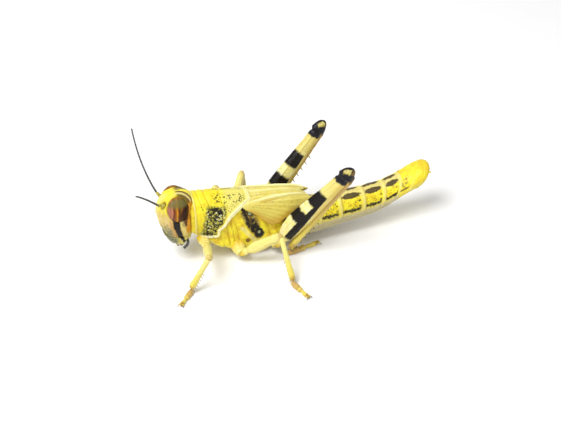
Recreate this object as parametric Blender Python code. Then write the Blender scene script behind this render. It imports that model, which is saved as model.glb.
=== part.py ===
"""A desert locust hopper of the last stage, life size, standing with its hind legs folded.

The locust faces +X, its left side is +Y and the floor is at Z = 0. Sizes are in millimetres and are
scaled to metres where a mesh is made. Every piece starts as a sphere of rings and sides, and a short
function says where each ring and side goes, so each piece is one closed body.
"""

import math

import bmesh
import bpy
from mathutils import Matrix, Vector

MM = 0.001
GAP = 0.2  # the thin cut between neighbouring pieces
UP = Vector((0, 0, 1))
SIDES_OF_BODY = {"left": 1, "right": -1}

# The trunk: station x, height of the centre, half height, half width, backward lean of the section, and
# the power that shapes its underside: 1 is round, and less is squarer.
TRUNK = (
    (10.6, 9.10, 3.35, 2.60, 0.00, 0.90),
    (9.5, 8.95, 3.55, 2.80, 0.00, 0.80),
    (4.6, 6.95, 5.00, 3.30, 0.00, 0.42),
    (0.0, 5.90, 5.15, 3.45, 0.00, 0.40),
    (-4.0, 5.45, 4.50, 3.35, 0.00, 0.50),
    (-7.0, 4.80, 3.70, 3.05, 0.00, 0.80),
    (-10.8, 4.10, 3.15, 2.90, 0.00, 0.90),
    (-15.5, 4.35, 2.70, 2.65, 0.04, 0.90),
    (-20.4, 4.85, 2.48, 2.45, 0.10, 0.90),
    (-23.5, 5.50, 2.40, 2.30, 0.20, 0.90),
    (-26.5, 6.90, 2.20, 2.15, 0.38, 0.90),
    (-28.6, 7.95, 2.10, 2.10, 0.42, 0.90),
    (-31.2, 8.60, 1.85, 1.90, 0.35, 0.90),
)
BACK_SQUARENESS = 0.90
THORAX_INSET = 0.91
BELLY_SPREAD = 0.45
TIP_BLUNTNESS = 2.6
COLLAR_X = 9.6
LOBE_BOTTOM_Z = 5.2
LOBE_REAR_X = 5.5
PRONOTUM_TOP_Z = 11.2
MARGIN_CURVE = 1.9
ABDOMEN_SEAMS = (-5.2, -8.5, -12.0, -15.6, -19.7, -23.2, -25.7, -27.9, -29.7)
SEGMENT_FLARE = 0.05

# The head: fraction of the way down, front x, back x and half width.
HEAD_TOP_Z = 13.75
HEAD_BOTTOM_Z = 3.3
HEAD = (
    (0.00, 13.70, 9.60, 1.80),
    (0.12, 14.50, 9.20, 2.15),
    (0.30, 14.95, 9.00, 2.45),
    (0.50, 14.80, 9.10, 2.80),
    (0.70, 14.25, 9.50, 2.60),
    (0.85, 13.60, 10.00, 2.10),
    (1.00, 12.90, 10.80, 1.50),
)
HEAD_BLUNTNESS = 7
FACE_SQUARENESS = 0.85
MOUTH_TOP_Z = 5.9
LABRUM_BACK_X = 12.7
MANDIBLE_BACK_X = 11.1
EYE_CENTRE = Vector((12.1, 1.95, 11.4))
EYE_RADII = Vector((1.75, 1.20, 2.15))
EYE_LEAN = math.radians(13)

ANTENNA_BASE = {"left": Vector((15.0, 1.25, 12.25)), "right": Vector((14.6, -1.35, 12.6))}
ANTENNA_REACH = {"left": Vector((4.7, 6.2, 7.5)), "right": Vector((2.3, -6.6, 8.9))}
ANTENNA_BEND = {"left": Vector((0.2, 0.1, 0.4)), "right": Vector((0.5, 0.3, -0.2))}
ANTENNA_RADIUS = 0.26

# Each leg: trochanter, knee, ankle and the tip of the foot.
LEGS = {
    "fore_left": ((8.0, 3.2, 4.2), (8.9, 8.8, 6.0), (12.2, 9.5, 1.0), (14.7, 12.4, 0.4)),
    "fore_right": ((7.7, -3.2, 4.3), (3.3, -7.7, 7.0), (4.0, -7.9, 1.0), (7.7, -9.5, 0.4)),
    "mid_left": ((2.4, 4.4, 2.0), (-3.5, 7.1, 6.3), (-4.0, 12.3, 1.0), (-5.5, 16.4, 0.4)),
    "mid_right": ((2.0, -4.4, 2.2), (-1.6, -9.4, 7.8), (-2.6, -10.8, 1.0), (-4.6, -14.5, 0.4)),
    "hind_left": ((-3.8, 3.9, 1.9), (-14.5, 8.4, 17.4), None, (-11.4, 3.3, 0.4)),
    "hind_right": ((-2.4, -4.4, 1.9), (-14.8, -7.1, 16.2), None, (-11.4, -3.2, 0.4)),
}
HIND_TIBIA_DROP = 1.9
HIND_TIBIA_SHORT = 0.75
TARSUS_RADIUS = 0.46
TIBIA_RADIUS = {"fore": 0.47, "mid": 0.47, "hind": 0.52}
COXA_RADIUS = {"fore": 0.95, "mid": 1.15, "hind": 1.1}
# Limb outlines: fraction of the length, then the dorsal, ventral and lateral half sizes.
SMALL_FEMUR = (
    (0.00, 0.70, 0.70, 0.62),
    (0.30, 0.98, 0.92, 0.74),
    (0.75, 0.82, 0.76, 0.64),
    (1.00, 0.86, 0.84, 0.72),
)
HIND_FEMUR = (
    (0.00, 0.95, 0.90, 0.75),
    (0.12, 1.60, 1.10, 0.95),
    (0.28, 2.00, 1.15, 1.10),
    (0.50, 1.70, 1.00, 0.98),
    (0.70, 1.35, 0.85, 0.85),
    (0.85, 1.20, 0.70, 0.76),
    (0.93, 1.50, 0.40, 0.88),
    (1.00, 1.40, 0.30, 0.80),
)

# Wing pads: along the upper edge from front to tip, then the same along the lower edge.
HIND_PAD_TOP = ((0.0, 2.85, 10.3), (-4.0, 1.80, 10.5), (-8.4, 1.05, 9.9), (-10.4, 0.70, 9.2))
HIND_PAD_LOW = ((0.4, 3.95, 8.2), (-3.0, 4.00, 5.5), (-7.2, 2.95, 7.4), (-10.6, 1.25, 8.5))
FORE_PAD_TOP = ((-0.6, 0.32, 10.85), (-4.0, 0.32, 10.70), (-7.3, 0.32, 10.2), (-9.4, 0.32, 9.6))
FORE_PAD_LOW = ((0.6, 2.15, 10.35), (-4.0, 1.20, 10.40), (-7.3, 0.65, 10.0), (-9.5, 0.45, 9.4))
PAD_THICKNESS = 0.55

COLOURS = {
    "yellow": (0.78, 0.62, 0.06, 1),
    "straw": (0.66, 0.52, 0.14, 1),
    "cream": (0.80, 0.70, 0.34, 1),
    "tan": (0.50, 0.32, 0.10, 1),
    "olive": (0.20, 0.19, 0.08, 1),
    "eye brown": (0.16, 0.05, 0.02, 1),
    "horn grey": (0.05, 0.05, 0.055, 1),
}


def clear_scene():
    """Remove whatever the scene holds."""
    for obj in list(bpy.data.objects):
        bpy.data.objects.remove(obj, do_unlink=True)


def material(name):
    """Return the plain coloured material of this name, made the first time that it is asked for."""
    if name in bpy.data.materials:
        return bpy.data.materials[name]
    made = bpy.data.materials.new(name)
    made.use_nodes = True
    shader = made.node_tree.nodes["Principled BSDF"]
    shader.inputs["Base Color"].default_value = COLOURS[name]
    shader.inputs["Roughness"].default_value = 0.45
    shader.inputs["Metallic"].default_value = 0.0
    return made


def curve_through(stations, t):
    """Return the values at t on a smooth curve through stations, each a position and then its values."""
    ordered = sorted(stations)
    t = min(max(t, ordered[0][0]), ordered[-1][0])
    index = next(i for i in range(len(ordered) - 1) if t <= ordered[i + 1][0])
    low, high = ordered[index], ordered[index + 1]
    before = ordered[max(index - 1, 0)]
    after = ordered[min(index + 2, len(ordered) - 1)]
    span = high[0] - low[0]
    f = (t - low[0]) / span
    values = []
    for k in range(1, len(low)):
        slope_low = (high[k] - before[k]) / (high[0] - before[0]) * span
        slope_high = (after[k] - low[k]) / (after[0] - low[0]) * span
        values.append(
            low[k] * (1 + 2 * f) * (1 - f) ** 2
            + slope_low * f * (1 - f) ** 2
            + high[k] * f * f * (3 - 2 * f)
            + slope_high * f * f * (f - 1)
        )
    return values


def along_points(points, t):
    """Return the point at fraction t of the smooth curve through evenly spaced points."""
    last = len(points) - 1
    return Vector(curve_through([(i / last, *point) for i, point in enumerate(points)], t))


def bulged(value, power):
    """Raise the size of a cosine or sine to a power and keep its sign: below 1 it squares a section."""
    return math.copysign(abs(value) ** power, value)


def face_outwards(body):
    """Turn the faces of a closed body to point out, by the sign of its volume."""
    bmesh.ops.recalc_face_normals(body, faces=body.faces)
    if body.calc_volume(signed=True) < 0:
        bmesh.ops.reverse_faces(body, faces=body.faces)


def ring_body(sides, rings, place):
    """Return a bmesh whose point on ring k at an angle is place(k, angle); rings 0 and last are poles."""
    body = bmesh.new()
    bmesh.ops.create_uvsphere(body, u_segments=sides, v_segments=rings, radius=1)
    for vert in body.verts:
        ring = round(math.acos(max(-1.0, min(1.0, vert.co.z))) / math.pi * rings)
        vert.co = place(ring, math.atan2(vert.co.y, vert.co.x)) * MM
    face_outwards(body)
    return body


def cut(body, point, away):
    """Cut the body by a plane and keep the side that away points out of, with the cut closed flat."""
    geometry = body.verts[:] + body.edges[:] + body.faces[:]
    bmesh.ops.bisect_plane(
        body, geom=geometry, plane_co=Vector(point) * MM, plane_no=away, clear_outer=True, dist=1e-8
    )
    rim = [edge for edge in body.edges if edge.is_boundary]
    bmesh.ops.holes_fill(body, edges=rim, sides=0)
    face_outwards(body)


def add_piece(name, body, colour, collection):
    """Make the bmesh an object of this name in the collection, and free the bmesh."""
    mesh = bpy.data.meshes.new(name)
    body.to_mesh(mesh)
    body.free()
    mesh.shade_smooth()
    mesh.set_sharp_from_angle(angle=math.radians(40))
    mesh.materials.append(material(colour))
    piece = bpy.data.objects.new(name, mesh)
    collection.objects.link(piece)
    return piece


def carve(piece, cutter):
    """Take the cutter's shape out of the piece."""
    carving = piece.modifiers.new("carve", "BOOLEAN")
    carving.operation = "DIFFERENCE"
    carving.solver = "EXACT"
    carving.object = cutter


# Trunk ---------------------------------------------------------------------------------------------


def trunk_point(x, angle, grow=0.0, scale=1.0):
    """Return the trunk's surface at station x: angle 0 is the left side and a quarter turn is the back."""
    centre_z, half_height, half_width, lean, belly = curve_through(TRUNK, x)
    power = belly if math.sin(angle) < 0 else BACK_SQUARENESS
    spread = 1 + BELLY_SPREAD * (1 - belly) * max(-math.sin(angle), 0)
    across = bulged(math.cos(angle), power) * (half_width * spread + grow) * scale
    rise = bulged(math.sin(angle), power) * (half_height + grow) * scale
    return Vector((x - rise * math.sin(lean), across, centre_z + rise * math.cos(lean)))


def pronotum_rear(angle):
    """Return x of the pronotum's hind margin, which runs back from each lobe to the middle of the back."""
    height = trunk_point(3.0, angle).z
    climb = min(max((height - LOBE_BOTTOM_Z) / (PRONOTUM_TOP_Z - LOBE_BOTTOM_Z), 0.0), 1.0)
    return LOBE_REAR_X * (1 - climb**MARGIN_CURVE)


def thorax_seam(angle):
    """Return x of the seam between the second and third lengths of the thorax."""
    return -0.6 - 1.0 * math.sin(angle)


def drum(front, rear, sides, rings, flare=0.0, inset=1.0):
    """Return a length of trunk between two seams, each a function of the angle, less half a gap.

    The length narrows by flare towards its front, and inset scales all of its section.
    """

    def place(ring, angle):
        start = front(angle) - GAP / 2
        stop = rear(angle) + GAP / 2
        if ring in (0, rings):
            middle = front(0.0) - GAP / 2 if ring == 0 else rear(0.0) + GAP / 2
            return Vector((middle, 0, curve_through(TRUNK, middle)[0]))
        share = (ring - 1) / (rings - 2)
        scale = inset * (1 + flare * (share - 1))
        return trunk_point(start + (stop - start) * share, angle, scale=scale)

    return ring_body(sides, rings, place)


def build_thorax(parts):
    """Make the pronotum, the sternum under it, and the two lengths of thorax behind it."""
    collar = drum(lambda angle: COLLAR_X, pronotum_rear, 24, 9)
    under = collar.copy()
    cut(collar, (0, 0, LOBE_BOTTOM_Z + GAP / 2), -UP)
    cut(under, (0, 0, LOBE_BOTTOM_Z - GAP / 2), UP)
    add_piece("pronotum", collar, "yellow", parts)
    add_piece("prosternum", under, "straw", parts)
    abdomen_front = ABDOMEN_SEAMS[0]
    middle = drum(pronotum_rear, thorax_seam, 24, 7, inset=THORAX_INSET)
    hind = drum(thorax_seam, lambda angle: abdomen_front, 24, 6, inset=THORAX_INSET)
    add_piece("mesothorax", middle, "yellow", parts)
    add_piece("metathorax", hind, "yellow", parts)


def build_abdomen(parts):
    """Make the eight rings of the abdomen and its tip."""
    for number, (front, rear) in enumerate(zip(ABDOMEN_SEAMS, ABDOMEN_SEAMS[1:]), start=1):
        segment = drum(lambda angle: front, lambda angle: rear, 18, 5, SEGMENT_FLARE)
        add_piece(f"abdomen_{number}", segment, "yellow", parts)

    def tip_place(ring, angle):
        along = math.sin(math.pi / 2 * max(ring - 1, 0) / 6)
        blunt = (1 - along**TIP_BLUNTNESS) ** (1 / TIP_BLUNTNESS) * float(ring > 0)
        front = ABDOMEN_SEAMS[-1] - GAP / 2
        return trunk_point(front + (TRUNK[-1][0] - front) * along, angle, scale=blunt)

    add_piece("abdomen_tip", ring_body(18, 7, tip_place), "straw", parts)


# Head ----------------------------------------------------------------------------------------------


def head_body(grow=0.0):
    """Return the whole head with its mouthparts, as rings from the crown down to the lip."""
    rings = 12

    def place(ring, angle):
        down = (1 - math.cos(math.pi * ring / rings)) / 2
        front, back, half_width = curve_through(HEAD, down)
        round_off = math.sqrt(max(0.0, 1 - abs(2 * down - 1) ** HEAD_BLUNTNESS))
        middle, reach = (front + back) / 2, (front - back) / 2 + grow
        x = middle + reach * round_off * bulged(math.cos(angle), FACE_SQUARENESS)
        y = (half_width + grow) * round_off * bulged(math.sin(angle), FACE_SQUARENESS)
        return Vector((x, y, HEAD_TOP_Z + (HEAD_BOTTOM_Z - HEAD_TOP_Z) * down))

    return ring_body(24, rings, place)


def eye_body(side, grow=0.0):
    """Return the eye of one side, a tall bead that leans in at its top, made larger all round by grow."""
    lean = Matrix.Rotation(EYE_LEAN * side, 3, "X")
    radii = EYE_RADII + Vector((grow, grow, grow))

    def place(ring, angle):
        down = math.pi * ring / 10
        bead = Vector(
            (
                radii.x * math.sin(down) * math.cos(angle),
                radii.y * math.sin(down) * math.sin(angle),
                radii.z * math.cos(down),
            )
        )
        return lean @ bead + Vector((EYE_CENTRE.x, EYE_CENTRE.y * side, EYE_CENTRE.z))

    return ring_body(14, 10, place)


def mouth_piece(low_x, high_x, low_y, high_y):
    """Return the part of the head below the mouth line that lies between these limits."""
    body = head_body()
    cut(body, (0, 0, MOUTH_TOP_Z - GAP / 2), UP)
    cut(body, (low_x + GAP / 2, 0, 0), (-1, 0, 0))
    cut(body, (high_x - GAP / 2, 0, 0), (1, 0, 0))
    if low_y is not None:
        cut(body, (0, low_y + GAP / 2, 0), (0, -1, 0))
    if high_y is not None:
        cut(body, (0, high_y - GAP / 2, 0), (0, 1, 0))
    return body


def build_head(parts, cutters):
    """Make the head capsule with its eye sockets, the eyes, the mouthparts and the antennae."""
    capsule = head_body()
    cut(capsule, (COLLAR_X + GAP / 2, 0, 0), (-1, 0, 0))
    cut(capsule, (0, 0, MOUTH_TOP_Z + GAP / 2), -UP)
    head = add_piece("head", capsule, "yellow", parts)
    for name, side in SIDES_OF_BODY.items():
        add_piece(f"eye_{name}", eye_body(side), "eye brown", parts)
        socket = add_piece(f"socket_{name}", eye_body(side, GAP * 0.6), "eye brown", cutters)
        carve(head, socket)
        build_antenna(name, parts)
        build_palp(name, side, parts)
    add_piece("labrum", mouth_piece(LABRUM_BACK_X, 20, None, None), "olive", parts)
    add_piece("mandible_left", mouth_piece(MANDIBLE_BACK_X, LABRUM_BACK_X, 0, None), "straw", parts)
    add_piece("mandible_right", mouth_piece(MANDIBLE_BACK_X, LABRUM_BACK_X, None, 0), "straw", parts)
    add_piece("labium", mouth_piece(COLLAR_X, MANDIBLE_BACK_X, None, None), "straw", parts)


def build_antenna(name, parts):
    """Make one antenna, a thin tapering rod that bows upwards a little."""
    start = ANTENNA_BASE[name]
    outline = ((0.0, 0.34, 0.34, 0.34), (0.12, ANTENNA_RADIUS, ANTENNA_RADIUS, ANTENNA_RADIUS))
    outline += ((1.0, ANTENNA_RADIUS, ANTENNA_RADIUS, ANTENNA_RADIUS),)
    rod = limb_body(start, start + ANTENNA_REACH[name], outline, ANTENNA_BEND[name], 8, 11)
    add_piece(f"antenna_{name}", rod, "horn grey", parts)


def build_palp(name, side, parts):
    """Make one maxillary palp, which hangs behind the mandible."""
    outline = ((0.0, 0.28, 0.28, 0.28), (1.0, 0.30, 0.30, 0.30))
    start = Vector((10.9, 2.45 * side, 4.9))
    end = Vector((11.3, 1.95 * side, 2.7))
    palp = limb_body(start, end, outline, Vector((-0.25, 0.15 * side, 0)), 8, 7)
    add_piece(f"palp_{name}", palp, "olive", parts)


# Limbs ---------------------------------------------------------------------------------------------


def limb_body(start, end, outline, bend=Vector((0, 0, 0)), sides=10, rings=9, floor=None):
    """Return a blunt-ended rod from start to end that bows by bend, with its half sizes from outline."""

    def axis(t):
        return start.lerp(end, t) + bend * (4 * t * (1 - t))

    def place(ring, angle):
        t = (1 - math.cos(math.pi * ring / rings)) / 2
        tangent = (axis(min(t + 0.02, 1)) - axis(max(t - 0.02, 0))).normalized()
        lateral = tangent.cross(UP).normalized()
        dorsal = lateral.cross(tangent)
        above, below, beside = curve_through(outline, t)
        blunt = math.sqrt(max(0.0, 1 - abs(2 * t - 1) ** 14))
        rise = math.sin(angle) * blunt * (above if math.sin(angle) > 0 else below)
        point = axis(t) + dorsal * rise + lateral * (math.cos(angle) * blunt * beside)
        if floor is not None:
            point.z = max(point.z, floor)
        return point

    return ring_body(sides, rings, place)


def shortened(start, end, from_start, from_end):
    """Return the two ends of a limb moved towards each other by these lengths."""
    along = (end - start).normalized()
    return start + along * from_start, end - along * from_end


def ventral_direction(trochanter, knee):
    """Return the downward direction square to a femur, in the upright plane that holds it."""
    along = (knee - trochanter).normalized()
    return -(UP - along * along.z).normalized()


def build_leg(name, parts, trunk_cutter):
    """Make the coxa, femur, tibia and tarsus of one leg."""
    pair, side = name.split("_")
    trochanter, knee, ankle, tip = (None if point is None else Vector(point) for point in LEGS[name])
    hind = pair == "hind"
    root = Vector((trochanter.x + 0.3, trochanter.y * 0.5, trochanter.z + 0.9))
    wide = COXA_RADIUS[pair]
    coxa_outline = ((0.0, wide * 1.2, wide * 1.2, wide * 1.25), (1.0, wide, wide, wide))
    hip = limb_body(*shortened(root, trochanter, 0, -0.25), coxa_outline, rings=8)
    coxa = add_piece(f"coxa_{name}", hip, "yellow", parts)
    carve(coxa, trunk_cutter)
    thigh = shortened(trochanter, knee, 1.35 if hind else 1.15, -1.1 if hind else -0.3)
    if hind:
        femur = limb_body(*thigh, HIND_FEMUR, sides=14, rings=14)
        along = (knee - trochanter).normalized()
        ventral = ventral_direction(trochanter, knee)
        ankle = trochanter + ventral * HIND_TIBIA_DROP + along * HIND_TIBIA_SHORT
        shin = (knee + ventral * 1.25 + along * 0.3, ankle + along * 0.1)
        bend = ventral * 0.12
    else:
        femur = limb_body(*thigh, SMALL_FEMUR)
        shin = shortened(knee, ankle, 1.0, -0.05)
        bend = Vector((0, 0, 0))
    add_piece(f"femur_{name}", femur, "cream" if hind else "yellow", parts)
    radius = TIBIA_RADIUS[pair]
    outline = ((0.0, radius * 1.1, radius * 1.1, radius), (0.2, radius, radius, radius * 0.9))
    outline += ((1.0, radius * 1.05, radius * 1.05, radius),)
    add_piece(f"tibia_{name}", limb_body(*shin, outline, bend), "tan" if hind else "cream", parts)
    build_tarsus(name, ankle, tip, parts)


def build_tarsus(name, ankle, tip, parts):
    """Make one foot: three padded lengths that lie flat on the floor."""
    start, end = shortened(Vector((ankle.x, ankle.y, TARSUS_RADIUS)), tip, -0.25, 0)
    outline = [
        (share, size * TARSUS_RADIUS, TARSUS_RADIUS * 1.1, size * TARSUS_RADIUS * 0.95)
        for share, size in ((0, 0.95), (0.28, 1.1), (0.42, 0.85), (0.62, 1.0), (0.85, 0.8), (1, 0.85))
    ]
    foot = limb_body(start, end, outline, sides=10, rings=10, floor=0.0)
    add_piece(f"tarsus_{name}", foot, "tan", parts)


# Wing pads -----------------------------------------------------------------------------------------


def pad_body(top, low, side, crown):
    """Return a wing pad: a thin plate between its upper and lower edges that crowns outwards."""
    rings = 9

    def mirrored(points, t):
        point = along_points(points, t)
        return Vector((point.x, point.y * side, point.z))

    def place(ring, angle):
        t = (1 - math.cos(math.pi * ring / rings)) / 2
        upper, lower = mirrored(top, t), mirrored(low, t)
        end_scale = math.sqrt(max(0.0, 1 - abs(2 * t - 1) ** 10))
        across = 0.5 + 0.5 * math.cos(angle) * end_scale
        back = mirrored(top, max(t - 0.05, 0)) - mirrored(top, min(t + 0.05, 1))
        outward = back.cross(lower - upper).normalized() * side
        swell = crown * (1 - (2 * across - 1) ** 2) + math.sin(angle) * end_scale * PAD_THICKNESS / 2
        return lower.lerp(upper, across) + outward * swell

    return ring_body(12, rings, place)


def build_wing_pads(parts):
    """Make the four wing pads: the hind pads lie outside, over the lower edges of the fore pads."""
    for name, side in SIDES_OF_BODY.items():
        add_piece(f"forewing_pad_{name}", pad_body(FORE_PAD_TOP, FORE_PAD_LOW, side, 0.1), "straw", parts)
        add_piece(f"hindwing_pad_{name}", pad_body(HIND_PAD_TOP, HIND_PAD_LOW, side, 0.45), "straw", parts)


def centre_on_floor(parts):
    """Move every mesh so that the middle of the whole box's underside is at the origin."""
    points = [vert.co for piece in parts.objects for vert in piece.data.vertices]
    middle = [(min(p[k] for p in points) + max(p[k] for p in points)) / 2 for k in (0, 1)]
    shift = Matrix.Translation((-middle[0], -middle[1], -min(p.z for p in points)))
    for mesh in {obj.data for obj in bpy.data.objects if obj.type == "MESH"}:
        mesh.transform(shift)


def build_locust():
    """Build every piece of the locust."""
    clear_scene()
    parts = bpy.data.collections.new("locust")
    cutters = bpy.data.collections.new("cutters")
    for collection in (parts, cutters):
        bpy.context.scene.collection.children.link(collection)
    build_head(parts, cutters)
    build_thorax(parts)
    build_abdomen(parts)
    build_wing_pads(parts)
    whole_trunk = ring_body(
        24, 16, lambda ring, angle: trunk_point(10.4 - 1.3 * ring, angle, GAP, float(ring not in (0, 16)))
    )
    trunk_cutter = add_piece("trunk_cutter", whole_trunk, "straw", cutters)
    for name in LEGS:
        build_leg(name, parts, trunk_cutter)
    for cutter in cutters.objects:
        cutter.hide_render = True
        cutter.display_type = "WIRE"
    centre_on_floor(parts)


build_locust()
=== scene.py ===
"""A last-stage locust hopper at life size: fine plates, eyes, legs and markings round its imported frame.

Lengths are millimetres in the animal's own frame: +X towards the head, +Y to its left, the floor at Z = 0.
Surface.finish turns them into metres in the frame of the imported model. Angles round the trunk start at
the left side and reach a quarter turn at the middle of the back.
"""

import logging
from dataclasses import dataclass
from enum import Enum
from functools import cache
from math import acos, asin, atan2, copysign, cos, degrees, exp, hypot, pi, radians, remainder, sin, sqrt
from typing import Callable, Sequence, Union

import bmesh
import bpy
from mathutils import Matrix, Vector, noise


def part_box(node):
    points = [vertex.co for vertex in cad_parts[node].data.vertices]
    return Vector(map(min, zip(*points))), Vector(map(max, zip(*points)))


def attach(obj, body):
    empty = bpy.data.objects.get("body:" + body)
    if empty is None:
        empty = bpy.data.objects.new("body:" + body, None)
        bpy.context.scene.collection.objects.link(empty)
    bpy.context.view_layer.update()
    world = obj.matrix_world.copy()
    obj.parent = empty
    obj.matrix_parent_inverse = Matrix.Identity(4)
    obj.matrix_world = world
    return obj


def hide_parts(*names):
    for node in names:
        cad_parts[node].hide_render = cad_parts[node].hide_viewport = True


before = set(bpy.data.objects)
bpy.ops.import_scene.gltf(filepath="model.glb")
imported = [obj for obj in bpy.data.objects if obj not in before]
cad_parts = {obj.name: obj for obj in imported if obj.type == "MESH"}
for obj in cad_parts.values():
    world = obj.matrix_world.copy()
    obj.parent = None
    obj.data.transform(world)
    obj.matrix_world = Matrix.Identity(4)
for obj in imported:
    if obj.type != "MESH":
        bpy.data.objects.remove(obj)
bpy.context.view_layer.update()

MM = 0.001
UP = Vector((0, 0, 1))
TURN = 2 * pi
HALF_TURN = pi
QUARTER = pi / 2
SIDES = {"left": 1, "right": -1}
LOG = logging.getLogger("locust")

Place = Callable[[float, float], Vector]
Relief = Callable[[float, float, Vector], float]
Marked = dict[str, float]
Marks = Callable[[float, float, Vector], Marked]
AtAngle = Callable[[float], float]
Point = tuple[float, float, float]
Line = tuple[float, float, float, float]
Ridges = tuple[tuple[Line, float, float], ...]


def smooth(low: float, high: float, value: float) -> float:
    """Return a smooth step from 0 at low to 1 at high; low may be the larger."""
    t = clamp((value - low) / (high - low))
    return t * t * (3 - 2 * t)


def bell(distance: float, width: float) -> float:
    """Return a bell that is 1 at no distance and fades over the width."""
    return exp(-((distance / width) ** 2))


def bulged(value: float, power: float) -> float:
    """Raise the size of a cosine or sine to a power and keep its sign: below 1 it squares a section."""
    return copysign(abs(value) ** power, value)


def blunt(share: float, power: float) -> float:
    """Return a width along a rod that is full in the middle and closes at both ends."""
    return sqrt(max(0, 1 - abs(2 * share - 1) ** power))


def clamp(value: float) -> float:
    """Return a value held between 0 and 1."""
    return min(max(value, 0), 1)


def off_line(x: float, z: float, line: Line) -> float:
    """Return how far a point lies from a straight line between two others.

    Args:
        x: the point's first coordinate.
        z: the point's second coordinate.
        line: the first end's two coordinates, then the second end's.

    Returns:
        The distance, in the units of the coordinates.
    """
    run_x, run_z = line[2] - line[0], line[3] - line[1]
    share = clamp(((x - line[0]) * run_x + (z - line[1]) * run_z) / (run_x**2 + run_z**2))
    return hypot(x - line[0] - share * run_x, z - line[1] - share * run_z)


def swelling(x: float, z: float, shape: Line) -> float:
    """Return 1 in the middle of a soft oval, fading outwards; its shape is its middle and its two radii."""
    return bell(hypot((x - shape[0]) / shape[2], (z - shape[1]) / shape[3]), 1)


def grain(point: Vector, pitch: float) -> float:
    """Return a smooth unevenness from about -1 to 1 that changes over the pitch."""
    return noise.noise(point / pitch)


def ball(u: float, v: float) -> Vector:
    """Return the point of a ball of radius 1 at a share of the way from pole to pole and an angle."""
    down = HALF_TURN * u
    return Vector((sin(down) * cos(v), sin(down) * sin(v), cos(down)))


class Curve:
    """A smooth curve through stations, each a position followed by its values."""

    def __init__(self, *stations: tuple[float, ...]) -> None:
        """Keep the stations in order of position."""
        self.stations = sorted(stations)

    @cache
    def at(self, t: float) -> list[float]:
        """Return the values at a position.

        Args:
            t: the position, held within the first and last stations.

        Returns:
            One number for each value of a station.
        """
        known = self.stations
        t = min(max(t, known[0][0]), known[-1][0])
        index = next(i for i in range(len(known) - 1) if t <= known[i + 1][0])
        low, high = known[index], known[index + 1]
        before, after = known[max(index - 1, 0)], known[min(index + 2, len(known) - 1)]
        span = high[0] - low[0]
        f = (t - low[0]) / span
        values = []
        for k in range(1, len(low)):
            slope_low = (high[k] - before[k]) / (high[0] - before[0]) * span
            slope_high = (after[k] - low[k]) / (after[0] - low[0]) * span
            values.append(
                low[k] * (1 + 2 * f) * (1 - f) ** 2
                + slope_low * f * (1 - f) ** 2
                + high[k] * f * f * (3 - 2 * f)
                + slope_high * f * f * (f - 1)
            )
        return values

    @classmethod
    def through(cls, points: Sequence[Sequence[float]], side: int = 1) -> "Curve":
        """Return a curve whose position runs from 0 to 1 over evenly counted points on one side."""
        last = len(points) - 1
        return cls(*((i / last, x, y * side, z) for i, (x, y, z) in enumerate(points)))

    def point(self, t: float) -> Vector:
        """Return the values at a position as a point."""
        return Vector(self.at(t))


def along_limb(u: float) -> float:
    """Return the share of a limb's length at a share of its rings, which crowd towards both ends."""
    return (1 - cos(HALF_TURN * u)) / 2


def outline(radius: float, *stations: tuple[float, ...]) -> Curve:
    """Return the outline of a rod.

    Args:
        radius: what its half sizes are multiples of.
        *stations: a share of the length, then the upward, downward and sideways half sizes, or one for
            all three.

    Returns:
        The outline.
    """
    sizes = ((share, half if len(half) == 3 else half * 3) for share, *half in stations)
    return Curve(*((share, *(radius * size for size in half)) for share, half in sizes))


@dataclass(frozen=True, eq=False)
class Limb:
    """A blunt rod between two points, with its own upward, downward and sideways half sizes.

    The angle round it is 0 on its outer side and a quarter turn on top.
    """

    start: Vector
    end: Vector
    outline: Curve
    bend: Vector = Vector((0, 0, 0))
    power: float = 14
    side: int = 1
    floor: float = -1

    @cache
    def axis(self, t: float) -> Vector:
        """Return the middle of the rod at a share of its length."""
        return self.start.lerp(self.end, t) + self.bend * (4 * t * (1 - t))

    @cache
    def turned(self, t: float) -> tuple[Vector, Vector, Vector]:
        """Return the directions along the rod, out to its side and up from it, at a share of its length."""
        along = (self.axis(min(t + 0.02, 1)) - self.axis(max(t - 0.02, 0))).normalized()
        out = along.cross(UP).normalized()
        up = out.cross(along)
        return along, out * copysign(1, out.y * self.side), up

    def outward(self, t: float, angle: float) -> tuple[Vector, Vector]:
        """Return the directions along the rod and away from it at a share of its length and an angle."""
        along, out, up = self.turned(t)
        return along, out * cos(angle) + up * sin(angle)

    def point(self, t: float, angle: float) -> Vector:
        """Return the point of its surface at a share of its length and an angle."""
        _, out, up = self.turned(t)
        above, below, beside = self.outline.at(t)
        close = blunt(t, self.power)
        rise = sin(angle) * close * (above if sin(angle) > 0 else below)
        point = self.axis(t) + up * rise + out * (cos(angle) * close * beside)
        point.z = max(point.z, self.floor)
        return point


def limb_marks(u: float, v: float, point: Vector) -> Marked:
    """Return how far along a limb, how far up it and how far out a point lies."""
    return {"along": along_limb(u), "up": sin(v), "out": cos(v)}


def tip_marks(u: float, v: float, point: Vector) -> Marked:
    """Return how near to its tip a point of a thorn lies."""
    return {"tip": u}


def ring_marks(along: float) -> Marks:
    """Return the marks of a bead that lies at a share of a feeler's length."""
    return lambda u, v, point: {"along": along, "up": u}


EYE_CENTRE = Vector((12.1, 1.95, 11.4))
EYE_RADII = Vector((1.75, 1.2, 2.15))
EYE_LEAN = radians(13)


def frame_shift() -> Vector:
    """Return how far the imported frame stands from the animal's own frame, in millimetres."""
    low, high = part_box("eye_left")
    return (low + high) / (2 * MM) - EYE_CENTRE


SHIFT = frame_shift()


# --- Meshes ---


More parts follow.
